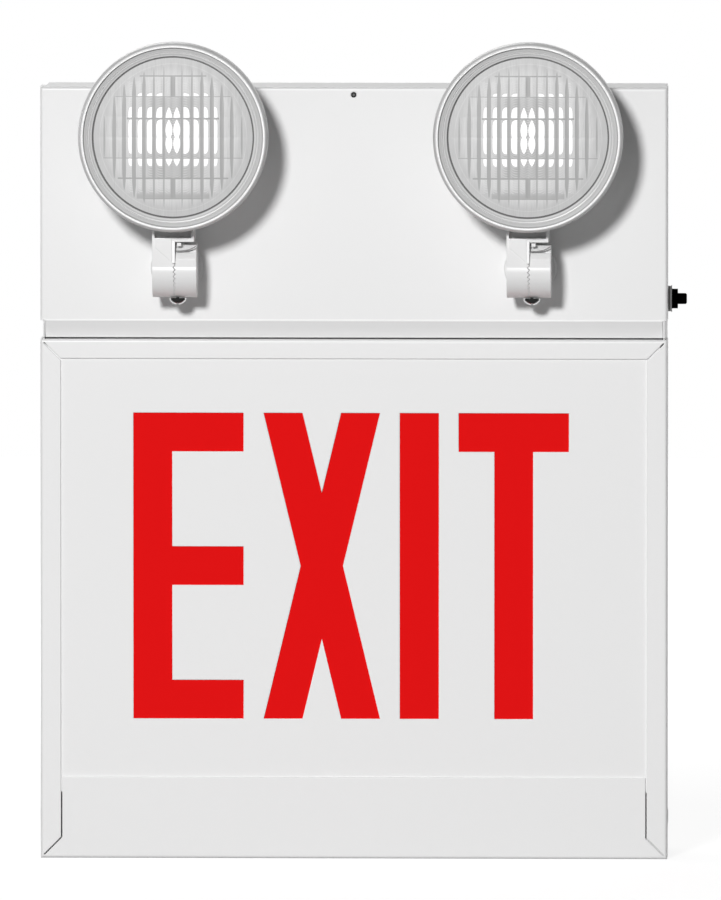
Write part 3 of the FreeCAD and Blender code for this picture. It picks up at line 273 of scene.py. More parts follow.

# Dull zinc on the switch's ring nut: flat grey, with a painted highlight in white along the last 1 mm, its
# flared lip.
LIP = 0.001
zinc_with_painted_lip = finish("dull_zinc_plating", "8A8A8A", 0.45)
tree = zinc_with_painted_lip.node_tree
low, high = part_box("switch_nut")
place = add(tree, "ShaderNodeTexCoord")
spot = add(tree, "ShaderNodeSeparateXYZ", {"Vector": place.outputs["Object"]})
inputs = {"Value": spot.outputs["X"], "From Min": high.x - LIP * 1.4, "From Max": high.x - LIP}
lip = add(tree, "ShaderNodeMapRange", inputs)
inputs = {"Fac": lip.outputs[0], "Color1": (*linear("6C6C6C"), 1), "Color2": (1, 1, 1, 1)}
coat = add(tree, "ShaderNodeMixRGB", inputs)
tree.links.new(coat.outputs[0], tree.nodes["Principled BSDF"].inputs["Base Color"])
dress(zinc_with_painted_lip, "switch_nut")

# Paint over the side screws: the cabinet's white, a shade duller.
painted = finish("painted_screw", "EDEDEC", 0.4)
dress(painted, "frame_screws")

# Blued spring steel: a darker metal with a faint cold cast.
spring_steel = finish("blued_spring_steel", "8C8E90", 0.35, 1.0)
dress(spring_steel, "face_clips", "switch_spring")


# ---- Battery, transformer and charger board
# Sealed lead-acid battery in a moulded ABS case, E-I core with a taped coil, and one printed board.
# None of it shows until the covers are off.

# Moulded ABS: near black, with a dull, even sheen.
battery_case = finish("moulded_abs_battery_case", "2B2C2F", 0.55)
dress(battery_case, "battery")

# Stamped brass: a yellow metal with broad highlights.
brass = finish("stamped_brass", "C9A355", 0.35, 1.0)
dress(brass, "battery_terminals", "switch_terminals")

# Stacked silicon steel: a dull dark grey metal.
core = finish("stacked_silicon_steel", "6A6C70", 0.5, 1.0)
dress(core, "transformer_core")

# Polyester tape: amber, with a slight gloss.
tape = finish("polyester_coil_tape", "C99A2A", 0.45)
dress(tape, "transformer_coil")

# Solder mask: dark green under a clear gloss.
board = finish("solder_masked_board", "175A2C", 0.35)
dress(board, "charger_board")

# Moulded polycarbonate relay cover: a glossy blue.
relay = finish("moulded_relay_cover", "1F4FA0", 0.3)
dress(relay, "relay")

# Shrunk PVC sleeve: a glossy blue-black.
sleeve = finish("shrink_pvc_sleeve", "1D1F33", 0.3)
dress(sleeve, "capacitor")

# Black anodised aluminium: dark and half metallic, with soft highlights.
black_fins = finish("black_anodised_aluminium", "1E1E20", 0.5, 0.6)
dress(black_fins, "heat_sink")

# Moulded nylon: a mid green with a low gloss.
green = finish("moulded_nylon_green", "1C8A48", 0.4)
dress(green, "terminal_block")


# ---- Lamp bars behind the sign
# Extruded aluminium channels across the back box, with strips of white light-emitting diodes.
# The extrusion is a pale metal with a blurred sheen; silicone with phosphor makes the diodes cream.
bar = finish("extruded_aluminium", "C8CACC", 0.4, 1.0)
dress(bar, "led_bar_upper", "led_bar_lower")
diodes = finish("phosphor_silicone", "EFE9C8", 0.4)
dress(diodes, "led_strip_upper", "led_strip_lower")


# ---- Test switch
# Momentary push switch: moulded phenolic body and plunger, threaded collar, zinc ring nut.
# Phenolic is black all through, and as moulded here it gives back almost no light.
phenolic = finish("moulded_black_phenolic", "060606", 0.6, Specular_IOR_Level=0.0)
dress(phenolic, "switch_body", "test_button")


# ---- Lamp heads
# Injection-moulded ABS swivel base, bowl and rim, white all through with a fine satin skin.
# The bowl's knuckle tilts on a bolt; toothed faces lock it at every ten degrees.

# Moulded edges are rounded to 0.5 mm, so each one catches a thin line of light.
abs_white = finish("moulded_white_abs", "EBEBEB", 0.3, Specular_IOR_Level=0.35)
tree = abs_white.node_tree
edge = add(tree, "ShaderNodeBevel", {"Radius": 0.0005}, samples=6)
tree.links.new(edge.outputs["Normal"], tree.nodes["Principled BSDF"].inputs["Normal"])

# The reflector is a clear mirror, and the bulb behind the lens a smooth pale gloss.
mirror = finish("vacuum_metallised_reflector", "E6E6E4", 0.08, 1.0)
bulb = finish("soda_lime_bulb", "F2F2EA", 0.05)
for side in ("left", "right"):
    dress(abs_white, side + "_swivel_base", side + "_lamp_shell")
    dress(mirror, side + "_lamp_reflector")
    dress(bulb, side + "_lamp_bulb")


# ---- Knuckle details
# Mouldings on each knuckle's front: a stop rib and a slanting web on the lamp's half, and on the
# base's half the peg that limits the tilt, all white ABS like the rest; the groove under the collar's lip
# is a grey strip of painted shade.

# The groove lies in shade under the lip, so a matt mid-grey strip on the face stands for it, as painted
# shade.
painted_groove_shade = finish("shaded_abs_groove", "8A8A8A", 0.6, Specular_IOR_Level=0.1)

# Outlines of (x, z) in mm from the lamp's axis and the top of the swivel base.
RIB = [(-1.4, -11.7), (0.6, -11.7), (0.6, 3.1), (-1.4, 3.1)]
WEB = [(-1.6, -11.0), (-1.6, 4.1), (-12.8, 4.1), (-12.8, -1.3)]
PEG = [(1.8, -0.5), (4.7, -0.5), (4.7, 1.7), (1.8, 1.7)]
# The groove runs level from the rib and curls up, as a cube does, towards the collar's side.
GROOVE_TALL = 0.7
groove = [(1.2 + 13.2 * part, -3.4 + 3.2 * part**3) for part in (0, 0.3, 0.6, 0.8, 1)]
groove += [(x, z - GROOVE_TALL) for x, z in reversed(groove)]


def outward(mesh):
    """Merges a mesh's doubles and turns its faces outwards."""
    work = bmesh.new()
    work.from_mesh(mesh)
    bmesh.ops.remove_doubles(work, verts=work.verts, dist=0.000005)
    bmesh.ops.recalc_face_normals(work, faces=work.faces)
    work.to_mesh(mesh)
    work.free()


def plate(name, corners, front, back, lean):
    """A plate from its outline of (x, z), between two depths, all in mm; lean tips its front back."""
    mesh = bpy.data.meshes.new(name)
    count = len(corners)
    foot = min(z for x, z in corners)
    verts = [(x / 1000, (front + lean * (z - foot)) / 1000, z / 1000) for x, z in corners]
    verts += [(x / 1000, back / 1000, z / 1000) for x, z in corners]
    faces = [tuple(range(count)), tuple(range(2 * count - 1, count - 1, -1))]
    faces += [(i, i + count, (i + 1) % count + count, (i + 1) % count) for i in range(count)]
    mesh.from_pydata(verts, [], faces)
    outward(mesh)
    return mesh


for side in ("left", "right"):
    low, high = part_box(side + "_lamp_lens")
    axis = (low.x + high.x) / 2 * 1000
    low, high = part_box(side + "_swivel_base")
    face, top = low.y * 1000, high.z * 1000
    # Each stands proud of the knuckle's face by so many mm, less than 0 being sunk in it.
    for part, corners, proud, lean, material, body in (
        ("rib", RIB, 1.6, 0.1, abs_white, "_lamp"),
        ("web", WEB, 0.25, 0.0, abs_white, "_lamp"),
        ("peg", PEG, -0.4, 0.0, abs_white, "_swivel"),
        ("groove", groove, 0.04, 0.0, painted_groove_shade, "_swivel"),
    ):
        name = f"{side}_knuckle_{part}"
        outline = [(axis + x, top + z) for x, z in corners]
        mesh = plate(name, outline, face - proud, face + 1.2, lean)
        shown(name, mesh, material, side + body, "head_white")


# ---- Lamp rims
# A moulded ring that snaps over the bowl's lip and keeps the lens in. Two fine beads stand on its
# crest, and its bezel steps down to the lens in two shallow bands. The same ABS, a shade greyer.
low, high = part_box("left_lamp_rim")
OUT = (high.x - low.x) / 2 * 1000
DEEP = (high.y - low.y) * 1000


def bend(radius, depth, wide, tall, first, last, steps):
    """Points of (radius, depth) in mm round an ellipse, between two angles in degrees."""
    turns = [math.radians(first + (last - first) * i / steps) for i in range(steps + 1)]
    return [(radius + wide * math.cos(turn), depth - tall * math.sin(turn)) for turn in turns]


# The rim's section, from its back edge out and round the front to the lip over the lens.
section = [(OUT - 2.1, DEEP)]
section += bend(OUT - 0.7, DEEP - 0.9, 0.7, 0.9, -90, 0, 2)
section += bend(OUT - 2.4, 4.2, 2.4, 4.2, 0, 75, 5)
section += bend(OUT - 2.1, 0.75, 0.4, 0.75, 90, 180, 2)
section += bend(OUT - 3.2, 0.75, 0.45, 0.55, 0, 135, 3)
section += [(OUT - 3.6, 2.2), (OUT - 4.0, 2.3), (OUT - 5.7, 3.0), (OUT - 6.0, 2.8), (OUT - 6.4, 2.95)]
section += [(OUT - 6.6, 3.9), (OUT - 7.1, 4.0), (OUT - 7.4, 3.7)]
section += bend(OUT - 8.7, 5.3, 0.6, 0.9, 90, 180, 2)
section += [(OUT - 9.3, 5.8), (OUT - 2.1, 5.8)]

# ABS with a satin skin. Its tone is painted by radius: painted highlights make the beads white, painted
# shade darkens the grooves.
RAMP_IN, RAMP_OUT = 11.0, 1.0
abs_rim = finish("moulded_rim_abs", "D0D0D0", 0.3, Specular_IOR_Level=0.35)
tree = abs_rim.node_tree
spot = add(tree, "ShaderNodeAttribute", attribute_name="ring")
inputs = {"Value": spot.outputs["Fac"], "From Min": OUT - RAMP_IN, "From Max": OUT + RAMP_OUT}
share = add(tree, "ShaderNodeMapRange", inputs)
ramp = add(tree, "ShaderNodeValToRGB", {"Fac": share.outputs[0]})
marks = ramp.color_ramp.elements
for inset, tone in (
    # The lip over the lens, its edge in painted shade, and its inner band, in mm in from the rim's outer
    # wall.
    (9.8, "6E6E6E"),
    (9.3, "A8A8A8"),
    (8.8, "E2E2E2"),
    (8.3, "DEDEDE"),
    (7.9, "CACACA"),
    (7.1, "CECECE"),
    # The fine ridge and the outer band.
    (6.7, "DADADA"),
    (6.2, "D2D2D2"),
    (5.7, "C6C6C6"),
    (4.1, "CACACA"),
    # The groove in painted shade, the two beads painted white as a highlight, and the outer wall.
    (3.7, "9C9C9C"),
    (3.4, "A6A6A6"),
    (3.0, "FFFFFF"),
    (2.0, "FFFFFF"),
    (1.6, "C4C4C4"),
    (0.3, "CECECE"),
    (0.0, "DADADA"),
):
    mark = marks.new((RAMP_IN - inset) / (RAMP_IN + RAMP_OUT))
    mark.color = (*linear(tone), 1)
marks.remove(marks[0])
marks.remove(marks[-1])
tree.links.new(ramp.outputs[0], tree.nodes["Principled BSDF"].inputs["Base Color"])


def lathed(name, profile, steps, middle, front):
    """A ring turned about a lamp's axis, from (radius, depth behind the front) in mm."""
    mesh = bpy.data.meshes.new(name)
    verts, faces, count = [], [], len(profile)
    for i in range(steps):
        turn = 2 * math.pi * i / steps
        for radius, depth in profile:
            x = middle.x + radius / 1000 * math.cos(turn)
            z = middle.z + radius / 1000 * math.sin(turn)
            verts.append((x, front + depth / 1000, z))
    for i in range(steps):
        here, there = i * count, (i + 1) % steps * count
        for j in range(count):
            k = (j + 1) % count
            faces.append((here + j, here + k, there + k, there + j))
    mesh.from_pydata(verts, [], faces)
    ring = mesh.attributes.new("ring", "FLOAT", "POINT")
    ring.data.foreach_set("value", [radius for _ in range(steps) for radius, _ in profile])
    outward(mesh)
    mesh.shade_smooth()
    mesh.set_sharp_from_angle(angle=math.radians(35))
    return mesh


for side in ("left", "right"):
    name = side + "_beaded_rim"
    low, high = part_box(side + "_lamp_rim")
    mesh = lathed(name, section, 160, (low + high) / 2, low.y)
    shown(name, mesh, abs_rim, side + "_lamp", "head_white", side + "_lamp_rim")


# ---- Lenses
# One pressed disc of clear polycarbonate in each head, crowned, with upright flutes crossed by rows.
# Each small lenslet shows the bright reflector behind it, painted on as white with a faint painted glow,
# and grey bars and lines part them. Outwards the disc is plain and darker, with faint upright streaks.

# Flute and row pitches and the radius that the rim's lip leaves in sight, in mm.
FLUTE, ROW, EYE = 6.58, 13.55, OUT - 9.8
lens = finish("pressed_clear_polycarbonate", "D2D2D2", 0.5, Specular_IOR_Level=0.3)
tree = lens.node_tree
shader = tree.nodes["Principled BSDF"]
spot = add(tree, "ShaderNodeAttribute", attribute_name="from_centre")
split = add(tree, "ShaderNodeSeparateXYZ", {"Vector": spot.outputs["Vector"]})
flat_spot = add(tree, "ShaderNodeCombineXYZ", {"X": split.outputs["X"], "Z": split.outputs["Z"]})
length = add(tree, "ShaderNodeVectorMath", {0: flat_spot.outputs[0]}, operation="LENGTH")
# The streaks are about 0.45 mm wide and 20 mm tall.
inputs = {0: flat_spot.outputs[0], 1: (2.2, 1.0, 0.05)}
drawn = add(tree, "ShaderNodeVectorMath", inputs, operation="MULTIPLY")
streaks = add(tree, "ShaderNodeTexNoise", {"Vector": drawn.outputs[0], "Scale": 1.0, "Detail": 2.0})
got = {
    "across": split.outputs["X"],
    "up": split.outputs["Z"],
    "radius": length.outputs["Value"],
    "streak": streaks.outputs["Fac"],
}
# The pattern, worked out step by step in mm from the lens's axis: a name, a sum and what goes in.
steps = [
    # How far out and up a spot is, and which flute it lies in, counted from the middle.
    ("side", "ABSOLUTE", "across"),
    ("high", "ABSOLUTE", "up"),
    ("run", "ADD", "side", 0.6),
    ("turn", "DIVIDE", "run", FLUTE),
    ("column", "FLOOR", "turn"),
    ("first", "LESS_THAN", "column", 0.5),
    # Bars between the flutes, wider outward and fading to nothing at the edge of the pattern.
    ("nearest", "ROUND", "turn"),
    ("offset", "SUBTRACT", "turn", "nearest"),
    ("offset", "ABSOLUTE", "offset"),
    ("offset", "MULTIPLY", "offset", FLUTE),
    ("half", "MULTIPLY_ADD", "nearest", 0.17, 0.6),
    ("half", "MINIMUM", "half", 1.3),
    ("outer", "GREATER_THAN", "high", 27.0),
    ("inmost", "LESS_THAN", "nearest", 2.5),
    ("thin", "MULTIPLY", "outer", "inmost"),
    ("thin", "MULTIPLY_ADD", "thin", -0.45, 1.0),
    ("half", "MULTIPLY", "half", "thin"),
    ("taper", "SUBTRACT", EYE - 5.4, "radius"),
    ("taper", "DIVIDE", "taper", 8.0),
    ("taper", "MAXIMUM", "taper", 0.0),
    ("taper", "MINIMUM", "taper", 1.0),
    ("taper", "POWER", "taper", 0.6),
    ("half", "MULTIPLY", "half", "taper"),
    ("bar", "LESS_THAN", "offset", "half"),
    # A wider stem in the middle, above and below the lit rows.
    ("stem", "LESS_THAN", "side", 1.6),
    ("stem", "MULTIPLY", "stem", "outer"),
    ("stem_end", "LESS_THAN", "high", 40.0),
    ("stem", "MULTIPLY", "stem", "stem_end"),
    ("bar", "MAXIMUM", "bar", "stem"),
    # Where a spot lies across its flute: 0 at the inner bar, 1 at the lit cell's outer edge.
    ("start", "MULTIPLY_ADD", "column", 0.15, 0.95),
    ("local", "FRACT", "turn"),
    ("local", "MULTIPLY", "local", FLUTE),
    ("local", "SUBTRACT", "local", "start"),
    ("width", "MULTIPLY_ADD", "column", -0.6, 4.5),
    ("local", "DIVIDE", "local", "width"),
    ("inside", "GREATER_THAN", "local", 0.0),
    ("local", "MAXIMUM", "local", 0.0),
    ("blunt", "POWER", "local", 2.5),
    ("pointed", "MULTIPLY_ADD", "local", 2.0, -1.0),
    ("pointed", "ABSOLUTE", "pointed"),
    ("change", "SUBTRACT", "pointed", "blunt"),
    ("wide", "MULTIPLY_ADD", "change", "first", "blunt"),
    ("sharpness", "MULTIPLY_ADD", "first", -2.0, 4.0),
    # No cell is lit to start with.
    ("lit", "MULTIPLY", "side", 0.0),
]
# Lit cells, the painted reflection of the reflector, row by row: middle, half height, lowest and
# highest edge, in mm, then the first flute that is lit and the first one that isn't.
for middle, half, low, high, inner, outer in (
    (11.6, 8.6, 13.1, 21.0, 0, 5),
    (4.9, 6.9, -0.1, 12.0, 0, 5),
    (-4.0, 6.8, -11.0, -0.1, 0, 5),
    (-12.6, 6.4, -21.0, -14.1, 0, 5),
    (26.0, 3.1, 27.3, 30.0, 1, 4),
):
    steps += [
        ("tall", "SUBTRACT", "up", middle),
        ("tall", "DIVIDE", "tall", half),
        ("tall", "ABSOLUTE", "tall"),
        ("tall", "POWER", "tall", "sharpness"),
        ("cell", "ADD", "tall", "wide"),
        ("cell", "LESS_THAN", "cell", 1.0),
        ("cell", "MULTIPLY", "cell", "inside"),
    ]
    for edge, operation, limit in (
        ("up", "GREATER_THAN", low),
        ("up", "LESS_THAN", high),
        ("column", "GREATER_THAN", inner - 0.5),
        ("column", "LESS_THAN", outer - 0.5),
    ):
        steps += [("edge", operation, edge, limit), ("cell", "MULTIPLY", "cell", "edge")]
    steps += [("lit", "MAXIMUM", "lit", "cell")]
# Cross lines between the rows: height, half thickness and how far out each runs, in mm, from none.
steps += [("line", "MULTIPLY", "side", 0.0)]
for level, half, reach in (
    (40.5, 0.45, 22.0),
    (26.9, 0.22, 38.0),
    (12.5, 0.6, 30.5),
    (-13.7, 0.25, 46.0),
    (-27.1, 0.5, 36.5),
    (-40.6, 0.3, 20.0),
):
    steps += [
        ("gap", "SUBTRACT", "up", level),
        ("gap", "ABSOLUTE", "gap"),
        ("gap", "LESS_THAN", "gap", half),
        ("end", "LESS_THAN", "side", reach),
        ("gap", "MULTIPLY", "gap", "end"),
        ("line", "MAXIMUM", "line", "gap"),
    ]
steps += [
    # The grey middle behind the lit cells, and a grey band below them.
    ("core", "SUBTRACT", 25.0, "side"),
    ("core", "DIVIDE", "core", 13.0),
    ("core", "MAXIMUM", "core", 0.0),
    ("core", "MINIMUM", "core", 1.0),
    ("within", "LESS_THAN", "high", 27.2),
    ("core", "MULTIPLY", "core", "within"),
    ("foot", "MULTIPLY_ADD", "up", -0.17, -5.6),
    ("foot", "MAXIMUM", "foot", 0.0),
    ("foot", "MINIMUM", "foot", 1.0),
    ("foot_end", "GREATER_THAN", "up", -40.6),
    ("foot", "MULTIPLY", "foot", "foot_end"),
    ("foot_side", "LESS_THAN", "side", 24.0),
    ("foot", "MULTIPLY", "foot", "foot_side"),
    ("core", "MAXIMUM", "core", "foot"),
    # Ripples above and below the lit cells.
    ("crest", "MULTIPLY_ADD", "wide", 1.6, "high"),
    ("crest", "MULTIPLY", "crest", 3.9),
    ("crest", "SINE", "crest"),
    ("crest", "MAXIMUM", "crest", 0.0),
    ("near", "LESS_THAN", "side", 31.5),
    ("crest", "MULTIPLY", "crest", "near"),
    ("near", "LESS_THAN", "high", 37.0),
    ("crest", "MULTIPLY", "crest", "near"),
    ("crest", "MULTIPLY", "crest", 0.85),
    # Streaks, a fine circle, the plain outer zone and the dark line of painted shadow where the rim holds
    # the disc.
    ("streak", "SUBTRACT", "streak", 0.5),
    ("streak", "ABSOLUTE", "streak"),
    ("streak", "MULTIPLY", "streak", 2.6),
    ("circle", "SUBTRACT", "radius", EYE - 4.3),
    ("circle", "ABSOLUTE", "circle"),
    ("circle", "LESS_THAN", "circle", 0.3),
    ("plain", "SUBTRACT", "radius", EYE - 11.4),
    ("plain", "DIVIDE", "plain", 5.5),
    ("plain", "MAXIMUM", "plain", 0.0),
    ("plain", "MINIMUM", "plain", 1.0),
    ("painted_rim_shadow", "GREATER_THAN", "radius", EYE - 0.45),
    # The lit cells' painted glow.
    ("glow", "MULTIPLY", "lit", 0.25),
]
for name, operation, *values in steps:
    values = [got.get(value, value) for value in values]
    got[name] = add(tree, "ShaderNodeMath", dict(enumerate(values)), operation=operation).outputs[0]

# Tones laid one over the other, the last on top; the lit cells are painted white and also have a painted
# glow.
shade = (*linear("E2E2E2"), 1)
for part, tone in (
    ("plain", "D1D1D1"),
    ("circle", "DADADA"),
    ("streak", "BABABA"),
    ("core", "BDBDBD"),
    ("crest", "E6E6E6"),
    ("bar", "B3B3B3"),
    ("line", "B0B0B0"),
    ("lit", "FFFFFF"),
    ("painted_rim_shadow", "6A6A6A"),
):
    inputs = {"Fac": got[part], "Color1": shade, "Color2": (*linear(tone), 1)}
    shade = add(tree, "ShaderNodeMixRGB", inputs).outputs[0]
tree.links.new(shade, shader.inputs["Base Color"])
# Painted light: the lit cells glow, though no lamp is there.
shader.inputs["Emission Color"].default_value = (1, 1, 1, 1)
tree.links.new(got["glow"], shader.inputs["Emission Strength"])

# The disc itself: a round grid, crowned, with a shallow rib for each flute and a dip at each row,
# thickened forwards. Each point keeps its place from the lens's centre, in mm, for the pattern.
flutes = bpy.data.node_groups.new("fluted_lens", "GeometryNodeTree")
flutes.is_modifier = True
low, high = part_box("left_lamp_lens")
for name, value in (
    ("Radius", (high.x - low.x) / 2 - 0.0005),
    ("Eye", EYE / 1000),
    ("Crown", 0.0036),
    ("Thickness", 0.0028),
    ("Flute", FLUTE / 1000),
    ("Row", ROW / 1000),
    ("Relief", 0.0006),
):
    size = flutes.interface.new_socket(name=name, in_out="INPUT", socket_type="NodeSocketFloat")
    size.default_value = value
flutes.interface.new_socket(name="Middle", in_out="INPUT", socket_type="NodeSocketVector")
flutes.interface.new_socket(name="Geometry", in_out="OUTPUT", socket_type="NodeSocketGeometry")
given = add(flutes, "NodeGroupInput").outputs
inputs = {"Size X": 1.0, "Size Y": 1.0, "Vertices X": 57, "Vertices Y": 301}
grid = add(flutes, "GeometryNodeMeshGrid", inputs)
here = add(flutes, "GeometryNodeInputPosition")
spot = add(flutes, "ShaderNodeSeparateXYZ", {"Vector": here.outputs[0]})
got = {socket.name: socket for socket in given}
got["out"] = spot.outputs["X"]
got["round"] = spot.outputs["Y"]
for name, operation, *values in (
    ("out", "ADD", "out", 0.5),
    ("round", "ADD", "round", 0.5),
    ("round", "MULTIPLY", "round", 2 * math.pi),
    ("radius", "MULTIPLY", "out", "Radius"),
    ("x", "COSINE", "round"),
    ("x", "MULTIPLY", "x", "radius"),
    ("z", "SINE", "round"),
    ("z", "MULTIPLY", "z", "radius"),
    # Ribs meet in the bars, 0.6 mm inside each multiple of the flute; rows dip at the cross lines.
    ("rib", "ABSOLUTE", "x"),
    ("rib", "ADD", "rib", 0.0006),
    ("rib", "MULTIPLY", "rib", math.pi),
    ("rib", "DIVIDE", "rib", "Flute"),
    ("rib", "SINE", "rib"),
    ("rib", "ABSOLUTE", "rib"),
    ("step", "MULTIPLY", "z", math.pi),
    ("step", "DIVIDE", "step", "Row"),
    ("step", "SINE", "step"),
    ("step", "ABSOLUTE", "step"),
    ("step", "POWER", "step", 0.35),
    ("part", "DIVIDE", "radius", "Eye"),
    ("part", "MINIMUM", "part", 1.0),
    ("fade", "POWER", "part", 8.0),
    ("fade", "SUBTRACT", 1.0, "fade"),
    ("relief", "MULTIPLY", "rib", "step"),
    ("relief", "MULTIPLY", "relief", "Relief"),
    ("relief", "MULTIPLY", "relief", "fade"),
    ("dome", "POWER", "part", 2.0),
    ("dome", "SUBTRACT", 1.0, "dome"),
    ("dome", "MULTIPLY", "dome", "Crown"),
    ("dome", "ADD", "dome", "relief"),
    ("back", "ADD", "Crown", "Relief"),
    ("back", "ADD", "back", "Thickness"),
    ("back", "SUBTRACT", "back", "dome"),
    ("push", "MULTIPLY", "Thickness", -1.0),
):
    values = [got.get(value, value) for value in values]
    got[name] = add(flutes, "ShaderNodeMath", dict(enumerate(values)), operation=operation).outputs[0]
place = add(flutes, "ShaderNodeCombineXYZ", {"X": got["x"], "Y": got["back"], "Z": got["z"]})
inputs = {"Geometry": grid.outputs["Mesh"], "Position": place.outputs[0]}
bent = add(flutes, "GeometryNodeSetPosition", inputs)
back = add(flutes, "GeometryNodeMergeByDistance", {"Geometry": bent.outputs[0], "Distance": 0.00002})
push = add(flutes, "ShaderNodeCombineXYZ", {"Y": got["push"]})
inputs = {"Mesh": back.outputs[0], "Offset": push.outputs[0], "Offset Scale": 1.0, "Individual": False}
front = add(flutes, "GeometryNodeExtrudeMesh", inputs, mode="FACES")
turned = add(flutes, "GeometryNodeFlipFaces", {"Mesh": back.outputs[0]})
both = add(flutes, "GeometryNodeJoinGeometry")
flutes.links.new(front.outputs["Mesh"], both.inputs[0])
flutes.links.new(turned.outputs["Mesh"], both.inputs[0])
shut = add(flutes, "GeometryNodeMergeByDistance", {"Geometry": both.outputs[0], "Distance": 0.00002})
inputs = {0: here.outputs[0], "Scale": 1000.0}
millimetres = add(flutes, "ShaderNodeVectorMath", inputs, operation="SCALE")
inputs = {"Geometry": shut.outputs[0], "Name": "from_centre", "Value": millimetres.outputs[0]}
kind = "GeometryNodeStoreNamedAttribute"
named = add(flutes, kind, inputs, data_type="FLOAT_VECTOR", domain="POINT")
smooth = add(flutes, "GeometryNodeSetShadeSmooth", {"Geometry": named.outputs[0]})
inputs = {"Geometry": smooth.outputs[0], "Translation": given["Middle"]}
moved = add(flutes, "GeometryNodeTransform", inputs)
real = add(flutes, "GeometryNodeRealizeInstances", {"Geometry": moved.outputs[0]})
made = add(flutes, "GeometryNodeSetMaterial", {"Geometry": real.outputs[0], "Material": lens})
add(flutes, "NodeGroupOutput", {"Geometry": made.outputs[0]})


for side in ("left", "right"):
    name = side + "_fluted_lens"
    low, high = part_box(side + "_lamp_lens")
    holder = bpy.data.objects.new(name + "_source", bpy.data.meshes.new(name + "_source"))
    live = holder.modifiers.new("flutes", "NODES")
    live.node_group = flutes
    keys = {item.name: item.identifier for item in flutes.interface.items_tree}
    live[keys["Middle"]] = ((low.x + high.x) / 2, low.y, (low.z + high.z) / 2)
    shown(name, as_mesh(holder), lens, side + "_lamp", "lens_glass", side + "_lamp_lens")


# ---- Stage: floor, sky, lamps and camera
# A pale seamless floor and a white backdrop. One big soft key lamp stands to the left of the camera,
# so the lamp heads' shadows fall to the right and down. A weak lamp behind lights the top, one at
# each side lights the returns and the rims' walls, and a low strip in front fills the foot.
FLOOR = 4.0
floor_mesh = bpy.data.meshes.new("floor")
corners = [(-FLOOR, -FLOOR, 0), (FLOOR, -FLOOR, 0), (FLOOR, FLOOR, 0), (-FLOOR, FLOOR, 0)]
floor_mesh.from_pydata(corners, [], [(0, 1, 2, 3)])
floor_mesh.transform(Matrix.Translation((0, 0, cad_low.z)))
# Matt paper: it takes shadows, and what the camera sees of it glows to the backdrop's white.
pale = finish("pale_seamless_floor", "8C8C8C", 0.9, Specular_IOR_Level=0.1)
tree = pale.node_tree
shader = tree.nodes["Principled BSDF"]
rays = add(tree, "ShaderNodeLightPath")
inputs = {0: rays.outputs["Is Camera Ray"], 1: rays.outputs["Is Glossy Ray"]}
seen = add(tree, "ShaderNodeMath", inputs, operation="MAXIMUM")
where = add(tree, "ShaderNodeTexCoord")
away = add(tree, "ShaderNodeVectorMath", {0: where.outputs["Object"]}, operation="LENGTH")
inputs = {"Value": away.outputs["Value"], "From Min": 0.5, "From Max": 1.6, "To Min": 0.86, "To Max": 1.0}
lift = add(tree, "ShaderNodeMapRange", inputs)
lift = add(tree, "ShaderNodeMath", {0: seen.outputs[0], 1: lift.outputs[0]}, operation="MULTIPLY")
shader.inputs["Emission Color"].default_value = (1, 1, 1, 1)
tree.links.new(lift.outputs[0], shader.inputs["Emission Strength"])
floor_mesh.materials.append(pale)
floor = bpy.data.objects.new("floor", floor_mesh)
bpy.context.collection.objects.link(floor)
floor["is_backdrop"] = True

# The sky is white where it is seen and lights the object only faintly.
world = bpy.data.worlds.new("studio")
bpy.context.scene.world = world
world.use_nodes = True
sky = world.node_tree
sky.nodes.clear()
rays = add(sky, "ShaderNodeLightPath")
inputs = {0: rays.outputs["Is Camera Ray"], 1: rays.outputs["Is Transmission Ray"]}
seen = add(sky, "ShaderNodeMath", inputs, operation="MAXIMUM")
inputs = {0: seen.outputs[0], 1: rays.outputs["Is Glossy Ray"]}
seen = add(sky, "ShaderNodeMath", inputs, operation="MAXIMUM")
fill = add(sky, "ShaderNodeBackground", {"Color": (1, 1, 1, 1), "Strength": 0.02})
white = add(sky, "ShaderNodeBackground", {"Color": (1, 1, 1, 1), "Strength": 1.0})
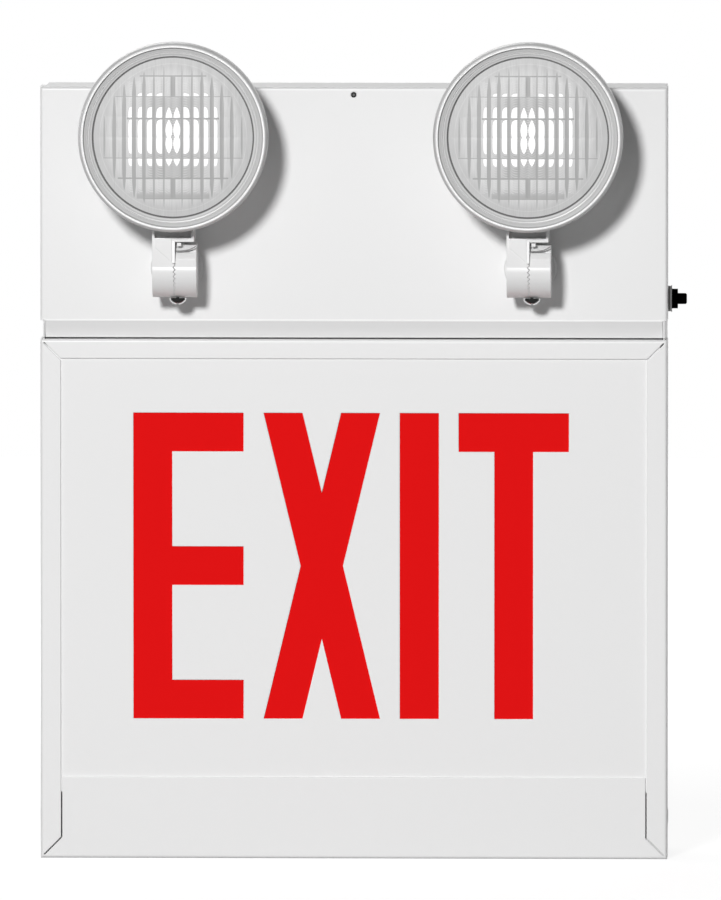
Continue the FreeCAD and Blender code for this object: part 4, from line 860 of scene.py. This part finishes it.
both = add(sky, "ShaderNodeMixShader", {0: seen.outputs[0], 1: fill.outputs[0], 2: white.outputs[0]})
add(sky, "ShaderNodeOutputWorld", {"Surface": both.outputs[0]})


def stand(name, thing, place, way):
    """Stands a lamp or camera at a place, with its back turned along a way."""
    holder = bpy.data.objects.new(name, thing)
    holder.location = place
    holder.rotation_mode = "QUATERNION"
    holder.rotation_quaternion = way.to_track_quat("Z", "Y")
    bpy.context.collection.objects.link(holder)
    return holder


def towards(left, up):
    """The way from the object, so many degrees to the left of the front and so many up."""
    a, e = math.radians(left), math.radians(up)
    return Vector((-math.sin(a) * math.cos(e), -math.cos(a) * math.cos(e), math.sin(e)))


# Round soft lamps: width in m, watts, degrees to the left of the front, degrees up, distance in m.
for name, wide, watts, left, up, far in (
    ("key_lamp", 0.85, 474.0, 8.3, 15.5, 8.0),
    ("rear_lamp", 1.5, 17.0, 165.0, 38.0, 3.0),
    ("left_side_lamp", 1.2, 13.0, 115.0, 8.0, 3.0),
    ("right_side_lamp", 1.2, 8.0, -115.0, 8.0, 3.0),
):
    lamp = bpy.data.lights.new(name, "AREA")
    lamp.shape = "DISK"
    lamp.size = wide
    lamp.energy = watts
    stand(name, lamp, towards(left, up) * far, towards(left, up))
# The strip lies just above the floor in front and shines back and up at the foot.
strip = bpy.data.lights.new("low_strip", "AREA")
strip.shape = "RECTANGLE"
strip.size = 1.4
strip.size_y = 0.12
strip.energy = 1.0
stand("low_strip", strip, (0, -1.1, cad_low.z + 0.03), Vector((0, -1.0, -0.3)))

# A long lens far off, a little to the right and above, aimed near the middle of the front,
# where it takes in this height.
VIEW_TALL = 0.5964
eye = bpy.data.cameras.new("camera")
eye.lens = 1000.0
eye.sensor_width = 36.0
eye.clip_end = 100
back = towards(-1.8, 3.7)
aim = Vector((0.0045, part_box("upper_cover")[0].y, 0.0155))
camera = stand("camera", eye, aim + back * (VIEW_TALL * eye.lens / eye.sensor_width), back)
bpy.context.scene.camera = camera
bpy.context.scene.view_settings.view_transform = "Standard"

low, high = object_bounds()
